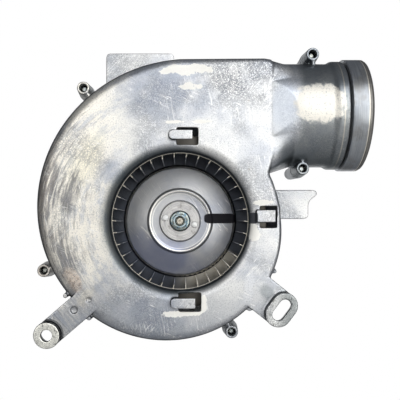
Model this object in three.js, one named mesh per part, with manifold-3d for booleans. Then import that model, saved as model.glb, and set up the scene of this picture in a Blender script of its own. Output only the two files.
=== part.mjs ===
// Flue-gas centrifugal blower of a gas boiler: die-cast scroll housing in two
// halves, forward-curved sheet-metal wheel and a shaded-pole motor behind it.
//
// Frame, in millimetres: the wheel axis is Y and the origin lies on it, in the
// plane of the housing's flat front face. X points right to the outlet, Z up and
// Y away from the inlet, towards the motor.

import * as THREE from 'three';
import { mergeVertices } from 'three/addons/utils/BufferGeometryUtils.js';
import Module from 'manifold-3d';

// ---------------------------------------------------------------- dimensions

const GAP = 0.3; // kept between pieces that touch
const WALL = 3; // die-cast wall
const DEPTH = 64; // front face to rear face of the housing
const SPLIT = 32; // plane where the two housing halves meet

// Scroll outline, radius by angle clockwise from +X as the inlet is looked into
const SCROLL_START = 69;
const SCROLL_GROWTH = 42.4 / 270; // mm per degree
const SCROLL_TOP = 111.4;
const TONGUE = [61, 33.6];

// Outlet tube and the collar pushed over its end, both along X
const TUBE_Z = 76.4;
const TUBE_R = 37.1;
const RAMP_X = [62.5, 80]; // the ramps from the flat faces out to the tube
const RAMP_Z = [20, 130];
const TUBE_START = 79;
const BAND_X = [104.7, 107.4, 114.5];
const BAND_R = 38.8;
const NECK_R = 36.4;
const NECK_END = 127.4;
const COLLAR_X = [115.8, 130];
const COLLAR_R = 40;
const COLLAR_BORE = 34.6;

// Inlet
const LIP_FACE_R = 54.5;
const LIP_THROAT_R = 47;
const LIP_DEPTH = 7.5;

// Wheel, 120 mm across and 42 mm wide
const WHEEL_R = 60;
const WHEEL_FRONT = 8.9;
const WHEEL_BACK = 51;
const BLADE_COUNT = 34;
const BLADE_INNER_R = 43;
const BLADE_SHEET = 0.8;
const RING_INNER_R = 47;
const DISC_SHEET = 1;
const DISC_FACE_R = 41.6;
const DISC_FACE_Y = 47;
const DISC_CONE = 0.9; // how much further back its edge is than its middle
const BEAD_R = 23;
const HUB_FLANGE_R = 15.2;
const HUB_FLANGE = 1.6;
const NUT_FLANGE_R = 7.9;
const RIVET_RADIUS = 11.4; // from the wheel axis
const RIVET_ANGLES = [168, -14];

// Motor
const SHAFT_R = 4;
const THREAD_R = 3;
const STACK_Y = [86, 114];
const BORE_R = 13.4;
const ROTOR_R = 12.8;
const BOLT_X = 25;
const COOLING_FAN_R = 20;
const COOLING_FAN_Y = 70;
const WASHER_Y = [81.6, 117.4];
const WASHER = 1;
const PILLAR_R = 4.6;
const SEAT = 2.5; // bosses on the rear wall that the pillars stand on
const BRACKET_FOOT = 8.5; // height of a bearing bracket's feet

// Feet, [x, z] of the pad centres
const LEFT_PAD = [-89.5, -76.8];
const RIGHT_PAD = [68.1, -59.7];
const PAD_PROUD = 6; // pad face in front of the housing face
const ARM_THICK = 8;
const SLOT_ANGLE = (53 / 180) * Math.PI;

// Screws that hold the two halves together: [x, z, boss root x, z]
const SCREW_BOSSES = [
  [93.5, 117.5, 94.5, 108],
  [86.5, 37, 86.5, 46],
  [-68.1, 93.7, -60, 82.6],
  [-96.1, -35, -86, -31.3],
  [36.4, -78.1, 32, -68.7],
];
const NUBS = [
  [-78.6, -51.2],
  [-62.3, -66.6],
  [47.6, -60.2],
  [64.6, -34.4],
];
const BOSS_FRONT = 15;
const BOSS_BACK = 66;
const BOSS_R = 4.5;
const SCREW_R = 1.9;
const SCREW_TIP = 24;

// Cast hooks of the inlet: tongue and the window that its core left,
// both as [x low, x high, z low, z high]
const HOOKS = [
  { tongue: [-7.7, 8.4, 55, 61.4], window: [-2.4, 12.1, 51.6, 63.4] },
  { tongue: [-6.5, 10.3, -59, -51.9], window: [-0.8, 14.3, -61.4, -48.6] },
  { tongue: [51.5, 64.2, -1, 7.4], window: [54.5, 66, -4.8, 10.2] },
];
const HOOK_Y = [-4.2, -2]; // front and underside of a tongue

// ----------------------------------------------------------------- materials

const finish = (color, roughness, metalness) =>
  new THREE.MeshStandardMaterial({ color, roughness, metalness });
const castAluminium = finish(0xb9bcc0, 0.5, 0.9);
const collarAluminium = finish(0x9a9890, 0.4, 0.9);
const sheetSteel = finish(0x9da2ab, 0.35, 1);
const bladeSteel = finish(0x5b5f66, 0.45, 1);
const hubSteel = finish(0xa6a7a8, 0.4, 1);
const zincSteel = finish(0x7f939d, 0.3, 1);
const laminationSteel = finish(0x6c6f73, 0.5, 0.9);
const copper = finish(0xb5673a, 0.35, 1);
const bronze = finish(0xa98446, 0.45, 1);
const bobbinPlastic = finish(0xe6e2d6, 0.55, 0);
const coilTape = finish(0x8d4a22, 0.5, 0);
const sealGraphite = finish(0x2b2b2d, 0.7, 0);

// ------------------------------------------------------------- solid helpers

const wasm = await Module();
wasm.setup();
const { Manifold, Mesh: SolidMesh } = wasm;
const RAD = Math.PI / 180;

/** A closed three.js geometry as a solid with its faces pointing out. */
function solid(source) {
  const bare = source.clone();
  bare.deleteAttribute('normal');
  bare.deleteAttribute('uv');
  const merged = mergeVertices(bare, 1e-4);
  const points = merged.attributes.position;
  const corners = [];
  let volume = 0;
  const [a, b, c] = [new THREE.Vector3(), new THREE.Vector3(), new THREE.Vector3()];
  for (let i = 0; i < merged.index.count; i += 3) {
    const tri = [0, 1, 2].map((k) => merged.index.getX(i + k));
    if (new Set(tri).size < 3) continue; // collapsed at a lathe's axis
    corners.push(...tri);
    a.fromBufferAttribute(points, tri[0]);
    b.fromBufferAttribute(points, tri[1]);
    c.fromBufferAttribute(points, tri[2]);
    volume += a.dot(b.cross(c));
  }
  if (volume < 0) corners.reverse();
  return new Manifold(
    new SolidMesh({
      numProp: 3,
      vertProperties: new Float32Array(points.array),
      triVerts: new Uint32Array(corners),
    }),
  );
}

/** A solid as a three.js geometry. */
function geometryOf(body) {
  const mesh = body.getMesh();
  const result = new THREE.BufferGeometry();
  result.setAttribute('position', new THREE.BufferAttribute(mesh.vertProperties, 3));
  result.setIndex(new THREE.BufferAttribute(mesh.triVerts, 1));
  return result;
}

const union = (bodies) => bodies.reduce((sum, body) => sum.add(body));
const cut = (body, tools) => tools.reduce((rest, tool) => rest.subtract(tool), body);

/** Box between two corners. */
function box([x0, y0, z0], [x1, y1, z1]) {
  const cuboid = new THREE.BoxGeometry(x1 - x0, y1 - y0, z1 - z0);
  return solid(cuboid.translate((x0 + x1) / 2, (y0 + y1) / 2, (z0 + z1) / 2));
}

/** Outline drawn in X and Z, given thickness from y0 to y1. */
function plate(shape, y0, y1, curveSegments = 8) {
  const slab = new THREE.ExtrudeGeometry(shape, {
    depth: y1 - y0,
    bevelEnabled: false,
    curveSegments,
  });
  return solid(slab.rotateX(Math.PI / 2).translate(0, y1, 0));
}

const outline = (points) => new THREE.Shape(points.map(([x, z]) => new THREE.Vector2(x, z)));

/** Round bar along Y, tapering from radius r0 at y0 to r1 at y1. */
function bar(x, z, y0, y1, r0, r1 = r0, sides = 16) {
  const round = new THREE.CylinderGeometry(r1, r0, y1 - y0, sides);
  return solid(round.translate(x, (y0 + y1) / 2, z));
}

/** Turned piece about Y from [radius, y] points. */
function turned(profile, sides = 32) {
  return solid(new THREE.LatheGeometry(profile.map((p) => new THREE.Vector2(...p)), sides));
}

/** Closed ring section, [radius, y] points, turned about Y. */
const turnedRing = (profile, sides) => turned([...profile, profile[0]], sides);

/** Slot-shaped outline: two half circles of radius r, their centres apart by length. */
function slotOutline([x, z], r, length, angle) {
  const [dx, dz] = [(Math.cos(angle) * length) / 2, (Math.sin(angle) * length) / 2];
  const shape = new THREE.Shape();
  shape.absarc(x + dx, z + dz, r, angle - Math.PI / 2, angle + Math.PI / 2);
  shape.absarc(x - dx, z - dz, r, angle + Math.PI / 2, angle + 1.5 * Math.PI);
  return shape;
}

/** Flat strip from one [x, z] point to another. */
function strip([x0, z0], [x1, z1], width, y0, y1) {
  const length = Math.hypot(x1 - x0, z1 - z0);
  const [nx, nz] = [((z0 - z1) / length) * (width / 2), ((x1 - x0) / length) * (width / 2)];
  return plate(
    outline([
      [x0 + nx, z0 + nz],
      [x0 - nx, z0 - nz],
      [x1 - nx, z1 - nz],
      [x1 + nx, z1 + nz],
    ]),
    y0,
    y1,
  );
}

/** Body between rings of [x, y, z] points, closed by a fan at each end. */
function loft(rings) {
  const count = rings[0].length;
  const vertices = rings.flat(2);
  const triangles = [];
  for (let level = 0; level + 1 < rings.length; level++) {
    for (let i = 0; i < count; i++) {
      const next = (i + 1) % count;
      const [p, q] = [level * count + i, level * count + next];
      triangles.push(p, q, q + count, p, q + count, p + count);
    }
  }
  [0, rings.length - 1].forEach((level, end) => {
    const centre = vertices.length / 3;
    for (let axis = 0; axis < 3; axis++) {
      vertices.push(rings[level].reduce((sum, point) => sum + point[axis], 0) / count);
    }
    for (let i = 0; i < count; i++) {
      const [p, q] = [level * count + i, level * count + ((i + 1) % count)];
      triangles.push(...(end ? [centre, p, q] : [centre, q, p]));
    }
  });
  const result = new THREE.BufferGeometry();
  result.setAttribute('position', new THREE.Float32BufferAttribute(vertices, 3));
  result.setIndex(triangles);
  return solid(result);
}

// -------------------------------------------------------------- scroll shape

// First quadrant of the outline, from the top of the spiral to the tongue
const EXIT_SIDE = [
  [0, SCROLL_TOP],
  [58, SCROLL_TOP],
  [64.5, 108],
  [65.5, 57],
  [64.8, 46],
  TONGUE,
  [63.4, 27.2],
  [66.3, 18.5],
  [68.4, 9],
  [SCROLL_START, 0],
];

/** Radius of the scroll's outside at an angle in degrees, anticlockwise from +X. */
function scrollRadius(angle) {
  if (angle >= 90 || angle < 0) {
    const turn = angle < 0 ? -angle : 360 - angle;
    return SCROLL_START + SCROLL_GROWTH * turn - 1.6 * Math.sin((turn / 270) * 2 * Math.PI);
  }
  const [c, s] = [Math.cos(angle * RAD), Math.sin(angle * RAD)];
  for (let i = 0; i + 1 < EXIT_SIDE.length; i++) {
    const [[x0, z0], [x1, z1]] = [EXIT_SIDE[i], EXIT_SIDE[i + 1]];
    const across = c * (z1 - z0) - s * (x1 - x0);
    const along = (s * x0 - c * z0) / across;
    if (along >= -1e-9 && along <= 1 + 1e-9) return (x0 * (z1 - z0) - z0 * (x1 - x0)) / across;
  }
  return SCROLL_START;
}

const cornerAngles = EXIT_SIDE.slice(1, -1).map(([x, z]) => Math.atan2(z, x) / RAD);
const SCROLL_ANGLES = [0, 45, 75, 90, ...cornerAngles].sort((a, b) => a - b);
for (let angle = 99; angle < 360; angle += 9) SCROLL_ANGLES.push(angle);

/** Rounding of the scroll's edge, wide on the left and small on the right. */
const edgeRadius = (angle) => 6.6 - 3.8 * Math.cos(angle * RAD);

/** Scroll volume between two depths, inside the outline by inset. Its front edge is
 *  rounded through the given steps, in degrees, and its rear edge has a chamfer. */
function scrollBody(y0, y1, inset, rearRadius, steps) {
  const ring = (place) =>
    SCROLL_ANGLES.map((angle) => {
      const [inward, y] = place(Math.max(edgeRadius(angle) - inset, 1));
      const r = scrollRadius(angle) - inset - inward;
      return [r * Math.cos(angle * RAD), y, r * Math.sin(angle * RAD)];
    });
  const front = steps.map((t) =>
    ring((e) => [e * (1 - Math.sin(t * RAD)), y0 + e * (1 - Math.cos(t * RAD))]),
  );
  const rear = [ring(() => [0, y1 - rearRadius]), ring(() => [rearRadius, y1])];
  return loft([...front, ...rear]);
}

/** Outlet passage along X: the scroll's square end turning into a round tube. */
function outletBody(inset, start, end, profile) {
  const SIDES = 32;
  const [halfY, halfZ] = [DEPTH / 2 - 0.1 - inset, 38.7 - inset];
  const middleZ = 72.6;
  const squareTo = (x) => Math.min(Math.max((x - RAMP_X[0]) / (TUBE_START - RAMP_X[0]), 0), 1);
  const ring = (x, tubeR) => {
    const round = squareTo(x);
    return Array.from({ length: SIDES }, (_, i) => {
      const [c, s] = [Math.cos((i / SIDES) * 2 * Math.PI), Math.sin((i / SIDES) * 2 * Math.PI)];
      const square = (Math.abs(c / halfY) ** 8 + Math.abs(s / halfZ) ** 8) ** (-1 / 8);
      const r = square * (1 - round) + tubeR * round;
      return [x, SPLIT + r * c, middleZ * (1 - round) + TUBE_Z * round + r * s];
    });
  };
  const levels = [start, RAMP_X[0], 70.7, TUBE_START].map((x) => [x, TUBE_R - inset]);
  return loft([...levels, ...profile, [end, profile.at(-1)[1]]].map(([x, r]) => ring(x, r)));
}

// ------------------------------------------------------------ housing halves

/** What is cut away in front of and behind the tube to leave its ramps: the tube
 *  stands out past both flat faces of the scroll. */
function ramps() {
  const rise = TUBE_R - SPLIT + 0.2;
  return [
    [0, -1],
    [DEPTH, 1],
  ].map(([face, out]) => {
    const section = outline([
      [RAMP_X[0], face],
      [RAMP_X[1], face + out * rise],
      [RAMP_X[0], face + out * rise],
    ]);
    const depth = RAMP_Z[1] - RAMP_Z[0];
    const block = new THREE.ExtrudeGeometry(section, { depth, bevelEnabled: false });
    return solid(block.translate(0, 0, RAMP_Z[0]));
  });
}

/** Everything the two halves share: the walls round the scroll and the outlet. */
function housingShell() {
  const tubeOutside = [
    [BAND_X[0], TUBE_R],
    [BAND_X[1], BAND_R],
    [BAND_X[2], BAND_R],
    [BAND_X[2] + 0.01, NECK_R],
  ];
  const scroll = scrollBody(0, DEPTH, 0, 3, [0, 45, 90]);
  const tube = bar(0, 0, RAMP_X[0] + 1, BAND_X[0], TUBE_R, TUBE_R, 48).rotate([0, 0, -90]);
  const walls = union([
    scroll,
    outletBody(0, 56, NECK_END, tubeOutside),
    tube.translate([0, SPLIT, TUBE_Z]),
  ]);
  return cut(walls, [...ramps(), passage()]);
}

/** Bosses and their webs for the screws that join the halves, in one range of Y. */
function screwBosses(y0, y1, r0, r1) {
  return SCREW_BOSSES.flatMap(([x, z, rootX, rootZ]) => [
    bar(x, z, y0, y1, r0, r1, 12),
    strip([x, z], [rootX, rootZ], 4, y0 + 4, y1),
  ]);
}

const screwHoles = (y0, y1, r) => SCREW_BOSSES.map(([x, z]) => bar(x, z, y0, y1, r, r, 8));

/** The hollow that the gas passes through, from the wheel out to the collar. */
function passage() {
  const scroll = scrollBody(WALL, DEPTH - WALL, WALL, 1.5, [0, 90]);
  return scroll.add(outletBody(WALL, 44, NECK_END + 5, [[BAND_X[0], TUBE_R - WALL]]));
}

function footArms() {
  const [lx, lz] = LEFT_PAD;
  const [rx, rz] = RIGHT_PAD;
  return union([
    strip(LEFT_PAD, [lx * 0.66, lz * 0.66], 18, 0, ARM_THICK),
    bar(lx, lz, -PAD_PROUD, ARM_THICK, 9, 9, 20),
    strip(RIGHT_PAD, [rx * 0.72 - 2, rz * 0.72], 25, 0, ARM_THICK),
    plate(slotOutline([rx, rz], 8.8, 7.2, SLOT_ANGLE), -PAD_PROUD, ARM_THICK),
  ]);
}

/** Ejector bosses beside the roots of the feet. */
const nubs = () => NUBS.map(([x, z]) => bar(x, z, 3, SPLIT - 2, 1.6, 2, 8));

/** A round hole and a slot, both wider behind the pads' faces. */
function footHoles() {
  const [front, step, back] = [-PAD_PROUD - 1, -PAD_PROUD + 3.4, ARM_THICK + 1];
  return [
    bar(...LEFT_PAD, front, back, 3.85, 3.85, 16),
    bar(...LEFT_PAD, step, back, 6.4, 6.4, 16),
    plate(slotOutline(RIGHT_PAD, 3.95, 7.9, SLOT_ANGLE), front, back, 6),
    plate(slotOutline(RIGHT_PAD, 6.2, 7.2, SLOT_ANGLE), step, back, 6),
  ];
}

/** Bell mouth of the inlet: the face curls in to the throat. */
function inletLip() {
  const mouth = [0, 30, 60, 90].map((t) => [
    LIP_FACE_R - (LIP_FACE_R - LIP_THROAT_R) * Math.sin(t * RAD),
    (LIP_DEPTH - 0.6) * (1 - Math.cos(t * RAD)),
  ]);
  const back = [
    [LIP_THROAT_R, LIP_DEPTH],
    [LIP_THROAT_R + 1.9, LIP_DEPTH],
    [LIP_THROAT_R + 3, 5],
    [LIP_FACE_R - 2, WALL],
    [LIP_FACE_R + 3, WALL],
  ];
  return turnedRing([[LIP_FACE_R + 3, 0], ...mouth, ...back], 40);
}

function hookBodies() {
  return HOOKS.flatMap(({ tongue: [x0, x1, z0, z1], window: [w0] }) => [
    box([x0, HOOK_Y[0], z0], [x1, HOOK_Y[1], z1]),
    box([x0, HOOK_Y[1] - 0.5, z0], [w0 - 0.2, WALL / 2, z1]),
  ]);
}

const hookWindows = () =>
  HOOKS.map(({ window: [x0, x1, z0, z1] }) => box([x0, -1, z0], [x1, WALL + 1.5, z1]));

const shell = housingShell();
const passageBody = passage();
const inletHole = bar(0, 0, -1, WALL + 2, LIP_FACE_R + 1.5, LIP_FACE_R + 1.5, 40);
const frontHalfSpace = box([-150, -20, -150], [160, SPLIT - GAP / 2, 160]);
const rearHalfSpace = box([-150, SPLIT + GAP / 2, -150], [160, 90, 160]);

function housingFront() {
  const bosses = union(screwBosses(BOSS_FRONT, SPLIT - GAP / 2, BOSS_R, BOSS_R + 1.2));
  const additions = union([footArms(), bosses, ...nubs()]).subtract(passageBody);
  const walls = shell.intersect(frontHalfSpace).add(additions);
  const open = cut(cut(walls, [inletHole]).add(inletLip()), hookWindows());
  const hooked = union([open, ...hookBodies()]);
  return cut(hooked, [...footHoles(), ...screwHoles(BOSS_FRONT - 1, SPLIT + 1, 2.4)]);
}

const PLATE_OUTLINE = [
  [-57.5, 80],
  [-57.5, 128.6],
  [-55.5, 130.6],
  [-6.7, 130.6],
  [-4.7, 128.6],
  [-4.7, 105],
];
const TAB_OUTLINE = [
  [60, 1.6],
  [97.5, 1.6],
  [100, 4.1],
  [100, 14.4],
  [106, 20.6],
  [105.4, 24.2],
  [60, 24.2],
];

function housingRear() {
  const bosses = union(screwBosses(SPLIT + GAP / 2, BOSS_BACK, BOSS_R + 1.2, BOSS_R));
  const additions = union([
    bosses,
    plate(outline(PLATE_OUTLINE), DEPTH - 4, DEPTH),
    plate(outline(TAB_OUTLINE), DEPTH - 4, DEPTH),
    bar(0, 0, DEPTH - 1, DEPTH + SEAT, 16, 15, 24),
    bar(-BOLT_X, 0, DEPTH - 1, DEPTH + SEAT, 6.5, 6, 12),
    bar(BOLT_X, 0, DEPTH - 1, DEPTH + SEAT, 6.5, 6, 12),
  ]).subtract(passageBody);
  const walls = shell.intersect(rearHalfSpace).add(additions);
  return cut(walls, [
    bar(0, 0, DEPTH - WALL - 1, DEPTH + 4, 10, 10, 20),
    bar(-BOLT_X, 0, DEPTH - WALL - 1, DEPTH + 4, 2.4, 2.4, 12),
    bar(BOLT_X, 0, DEPTH - WALL - 1, DEPTH + 4, 2.4, 2.4, 12),
    ...screwHoles(SPLIT - 1, BOSS_BACK + 1, 2.4),
  ]);
}

/** Collar pushed over the two half necks, with an end face turned in over them. */
function outletCollar() {
  const [x0, x1] = COLLAR_X;
  const boreOverNeck = NECK_R + GAP + 0.25;
  const ring = turnedRing(
    [
      [boreOverNeck, x0],
      [COLLAR_R, x0],
      [COLLAR_R, x1 - 2],
      [COLLAR_R - 1.2, x1],
      [COLLAR_BORE, x1],
      [COLLAR_BORE, NECK_END + GAP],
      [boreOverNeck, NECK_END + GAP],
    ],
    40,
  );
  return ring.rotate([0, 0, -90]).translate([0, SPLIT, TUBE_Z]);
}

/** Pan-head screw put in from behind, its point showing in the front boss. */
function housingScrew(x, z) {
  const headAt = BOSS_BACK + GAP;
  return union([
    bar(x, z, SCREW_TIP, headAt + 1, SCREW_R, SCREW_R, 8),
    bar(x, z, headAt, headAt + 2.4, 3.8, 3, 12),
  ]);
}

// --------------------------------------------------------------------- wheel

/** One blade: radial at its inner edge, its outer edge leaning into the turn. */
function bladeOutline(turn) {
  const STEPS = 2;
  const reach = WHEEL_R - 0.4 - BLADE_INNER_R;
  const side = (offset) =>
    Array.from({ length: STEPS + 1 }, (_, i) => {
      const r = BLADE_INNER_R + (reach * i) / STEPS;
      const angle = turn - 0.13 * (i / STEPS) ** 2 + offset / r;
      return [r * Math.cos(angle), r * Math.sin(angle)];
    });
  return outline([...side(BLADE_SHEET / 2), ...side(-BLADE_SHEET / 2).reverse()]);
}

function bladeRing() {
  const blades = Array.from({ length: BLADE_COUNT }, (_, i) =>
    plate(
      bladeOutline((i / BLADE_COUNT) * 2 * Math.PI),
      WHEEL_FRONT + 0.6,
      WHEEL_BACK - GAP,
    ),
  );
  const ring = turnedRing(
    [
      [RING_INNER_R, WHEEL_FRONT],
      [WHEEL_R, WHEEL_FRONT],
      [WHEEL_R, WHEEL_FRONT + 4.5],
      [WHEEL_R - 0.9, WHEEL_FRONT + 4.5],
      [WHEEL_R - 0.9, WHEEL_FRONT + 1.2],
      [RING_INNER_R, WHEEL_FRONT + 1.2],
    ],
    34,
  );
  return union([ring, ...blades]);
}

/** Pressed back disc: coned middle, bead and a flat rim that carries the blades. */
function wheelDisc() {
  const hole = 8.2;
  const wallBase = DISC_FACE_R + 0.8;
  const face = [
    [hole, DISC_FACE_Y],
    [BEAD_R - 1.6, DISC_FACE_Y + 0.15],
    [BEAD_R, DISC_FACE_Y - 0.75],
    [BEAD_R + 1.6, DISC_FACE_Y + 0.3],
    [DISC_FACE_R - 1.4, DISC_FACE_Y + DISC_CONE],
    [DISC_FACE_R, DISC_FACE_Y + DISC_CONE + 1],
    [wallBase, WHEEL_BACK],
    [WHEEL_R - 0.3, WHEEL_BACK],
  ];
  const back = [
    [WHEEL_R - 0.3, WHEEL_BACK + DISC_SHEET],
    [wallBase - 0.7, WHEEL_BACK + DISC_SHEET],
    [DISC_FACE_R - 1, WHEEL_BACK - 1],
    [DISC_FACE_R - 1.8, DISC_FACE_Y + DISC_CONE + DISC_SHEET],
    [BEAD_R + 2, DISC_FACE_Y + 0.3 + DISC_SHEET],
    [BEAD_R, DISC_FACE_Y - 0.75 + DISC_SHEET],
    [BEAD_R - 2, DISC_FACE_Y + DISC_SHEET],
    [hole, DISC_FACE_Y + DISC_SHEET],
  ];
  const holes = RIVET_ANGLES.map((angle) => {
    const [x, z] = onCircle(RIVET_RADIUS, angle);
    return bar(x, z, DISC_FACE_Y - 2, DISC_FACE_Y + 3, 1.6, 1.6, 8);
  });
  return cut(turnedRing([...face, ...back], 34), holes);
}

const onCircle = (r, angle) => [r * Math.cos(angle * RAD), r * Math.sin(angle * RAD)];

/** Steel hub: a flange in front of the disc and a sleeve on the shaft behind it. */
function wheelHub() {
  const bore = SHAFT_R + GAP + 0.05;
  const flangeFront = DISC_FACE_Y - GAP - HUB_FLANGE;
  const body = turnedRing(
    [
      [THREAD_R + GAP + 0.1, flangeFront],
      [HUB_FLANGE_R, flangeFront],
      [HUB_FLANGE_R, DISC_FACE_Y - GAP],
      [7.8, DISC_FACE_Y - GAP],
      [7.8, DISC_FACE_Y + 9],
      [bore, DISC_FACE_Y + 9],
      [bore, flangeFront + 1.4],
      [THREAD_R + GAP + 0.1, flangeFront + 1.4],
    ],
    24,
  );
  const holes = RIVET_ANGLES.map((angle) => {
    const [x, z] = onCircle(RIVET_RADIUS, angle);
    return bar(x, z, flangeFront - 1, DISC_FACE_Y, 1.6, 1.6, 8);
  });
  return cut(body, holes);
}

function hubRivet(angle) {
  const [x, z] = onCircle(RIVET_RADIUS, angle);
  const headBack = DISC_FACE_Y - GAP - HUB_FLANGE - GAP;
  return union([
    bar(x, z, headBack - 1, headBack, 1.7, 2.4, 10),
    bar(x, z, headBack - 0.2, DISC_FACE_Y + DISC_SHEET + GAP + 0.4, 1.2, 1.2, 8),
    bar(x, z, DISC_FACE_Y + DISC_SHEET + GAP, DISC_FACE_Y + DISC_SHEET + GAP + 1, 2.4, 1.8, 10),
  ]);
}

/** Flange nut on the end of the shaft. */
function wheelNut() {
  const back = DISC_FACE_Y - GAP - HUB_FLANGE - GAP;
  const hexagon = 5 / Math.cos(30 * RAD);
  return union([
    bar(0, 0, back - 1.4, back, 6.8, NUT_FLANGE_R, 18),
    bar(0, 0, back - 6, back - 1, hexagon, hexagon, 6),
  ]).subtract(bar(0, 0, back - 7, back + 1, THREAD_R + GAP + 0.1, THREAD_R + GAP + 0.1, 12));
}

function motorShaft() {
  const shoulder = DISC_FACE_Y + 0.4;
  return turned(
    [
      [0, 37.6],
      [THREAD_R - 0.6, 37.6],
      [THREAD_R, 38.2],
      [THREAD_R, shoulder],
      [SHAFT_R, shoulder],
      [SHAFT_R, 129.4],
      [SHAFT_R - 0.6, 130],
      [0, 130],
    ],
    16,
  );
}

/** Stamped fan that blows over the motor: a disc with vanes bent up from it. */
function coolingFan() {
  const y = COOLING_FAN_Y;
  const VANES = 8;
  const bore = SHAFT_R + GAP + 0.05;
  const disc = turnedRing(
    [
      [bore, y - 2],
      [6.5, y - 2],
      [6.5, y],
      [COOLING_FAN_R, y],
      [COOLING_FAN_R, y + 1],
      [bore, y + 1],
    ],
    20,
  );
  const vanes = Array.from({ length: VANES }, (_, i) => {
    const turn = (i * 360) / VANES;
    const [root, tip] = [onCircle(11, turn), onCircle(COOLING_FAN_R - 0.4, turn + 14)];
    return strip(root, tip, 1, y + 0.5, y + 5);
  });
  return union([disc, ...vanes]);
}

// --------------------------------------------------------------------- motor

/** Stator laminations: a loop of iron with the rotor bore above the coil's core. */
function statorStack() {
  const [y0, y1] = STACK_Y;
  const edge = outline([
    [-30, -52],
    [30, -52],
    [30, 18],
    [21, 28],
    [-21, 28],
    [-30, 18],
  ]);
  const window = outline([
    [-18, -37],
    [18, -37],
    [18, -20],
    [-18, -20],
  ]);
  return cut(plate(edge, y0, y1), [
    plate(window, y0 - 1, y1 + 1),
    bar(0, 0, y0 - 1, y1 + 1, BORE_R, BORE_R, 24),
    bar(-BOLT_X, 0, y0 - 1, y1 + 1, 2.5, 2.5, 8),
    bar(BOLT_X, 0, y0 - 1, y1 + 1, 2.5, 2.5, 8),
    ...[0, 180].flatMap((turn) =>
      shadingLegs(turn).map(([x, z]) => bar(x, z, y0 - 1, y1 + 1, 1.7, 1.7, 8)),
    ),
  ]);
}

/** Where the two legs of a shading ring pass through the stack. */
const shadingLegs = (turn) => [onCircle(17, turn + 32), onCircle(17, turn + 74)];

/** Copper shading ring: a wire through two holes of the stack, closed at both ends. */
function shadingRing(turn) {
  const [first, second] = shadingLegs(turn);
  const [y0, y1] = [STACK_Y[0] - GAP, STACK_Y[1] + GAP];
  return union([
    bar(...first, y0 - 1, y1 + 1, 1.2, 1.2, 6),
    bar(...second, y0 - 1, y1 + 1, 1.2, 1.2, 6),
    strip(first, second, 2.2, y0 - 1.8, y0),
    strip(first, second, 2.2, y1, y1 + 1.8),
  ]);
}

// Coil round the stack's lower bar
const LEG_Z = [-52, -37]; // bottom and top of that bar
const BOBBIN_TUBE = [STACK_Y[0] - 1.8, STACK_Y[1] + 1.8, -53.8, -35.2]; // y low, high, z low, high
const CHEEK = 1.5; // sheet of the bobbin's end cheeks and shelf
const CHEEK_X = 17.4;
const CHEEK_TOP = -20.6;
const COIL_BUILD = 8.8; // thickness of the winding on the tube

function coilBobbin() {
  const [y0, y1, z0, z1] = BOBBIN_TUBE;
  const iron = box([-18, STACK_Y[0] - GAP, LEG_Z[0] - GAP], [18, STACK_Y[1] + GAP, LEG_Z[1] + GAP]);
  const tube = box([-CHEEK_X, y0, z0], [CHEEK_X, y1, z1]);
  const cheeks = [-CHEEK_X, CHEEK_X - CHEEK].map((x) =>
    box([x, y0 - 10, z0 - 9.6], [x + CHEEK, y1 + 10, CHEEK_TOP]),
  );
  const shelf = box([-10, y1 + 10 - CHEEK, -26], [CHEEK_X, y1 + 10, CHEEK_TOP]);
  return cut(union([tube, ...cheeks, shelf]), [iron]);
}

/** Wound coil as one rounded body round the bobbin tube. */
function coilWinding() {
  const [y0, y1, z0, z1] = BOBBIN_TUBE;
  const round = (grow, corner) => {
    const [hy, hz] = [(y1 - y0) / 2 + grow, (z1 - z0) / 2 + grow];
    const shape = new THREE.Shape();
    const corners = [
      [hy, hz, 0],
      [-hy, hz, 90],
      [-hy, -hz, 180],
      [hy, -hz, 270],
    ];
    corners.forEach(([y, z, start]) => {
      const [cy, cz] = [y - Math.sign(y) * corner, z - Math.sign(z) * corner];
      shape.absarc(cy, cz, corner, start * RAD, (start + 90) * RAD);
    });
    return shape;
  };
  const along = (shape, x0, x1) => {
    const block = new THREE.ExtrudeGeometry(shape, {
      depth: x1 - x0,
      bevelEnabled: false,
      curveSegments: 2,
    });
    const turnedBlock = block.applyMatrix4(
      new THREE.Matrix4().set(0, 0, 1, x0, 1, 0, 0, 0, 0, 1, 0, 0, 0, 0, 0, 1),
    );
    return solid(turnedBlock.translate(0, (y0 + y1) / 2, (z0 + z1) / 2));
  };
  const end = CHEEK_X - CHEEK - GAP;
  const outside = along(round(COIL_BUILD, 5), -end, end);
  return outside.subtract(along(round(GAP, 0.4), -end - 1, end + 1));
}

/** Flat tab terminal that stands out of the bobbin's shelf. */
function terminal(x) {
  const y0 = BOBBIN_TUBE[1] + 10 + GAP;
  return box([x - 3.15, y0, -24], [x + 3.15, y0 + 8, -23.2]);
}

/** Cast bearing bracket: two feet on the stack and a hub held off it. */
function bearingBracket(faceY, outward) {
  const at = (distance) => faceY + outward * distance;
  const span = (a, b) => [Math.min(at(a), at(b)), Math.max(at(a), at(b))];
  const slab = (x0, x1, halfZ, a, b) => {
    const [y0, y1] = span(a, b);
    return box([x0, y0, -halfZ], [x1, y1, halfZ]);
  };
  const [hub0, hub1] = span(5, 14);
  const [foot0, foot1] = span(GAP, BRACKET_FOOT);
  const body = union([
    bar(-BOLT_X, 0, foot0, foot1, 4.8, 4.8, 12),
    bar(BOLT_X, 0, foot0, foot1, 4.8, 4.8, 12),
    slab(-BOLT_X, BOLT_X, 4, 5.5, 8.2),
    bar(0, 0, hub0, hub1, 9.4, 9.4, 16),
  ]);
  const [hole0, hole1] = span(-1, 16);
  return cut(body, [
    bar(0, 0, hole0, hole1, 7.4, 7.4, 16),
    bar(-BOLT_X, 0, hole0, hole1, 2.5, 2.5, 8),
    bar(BOLT_X, 0, hole0, hole1, 2.5, 2.5, 8),
  ]);
}

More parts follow.
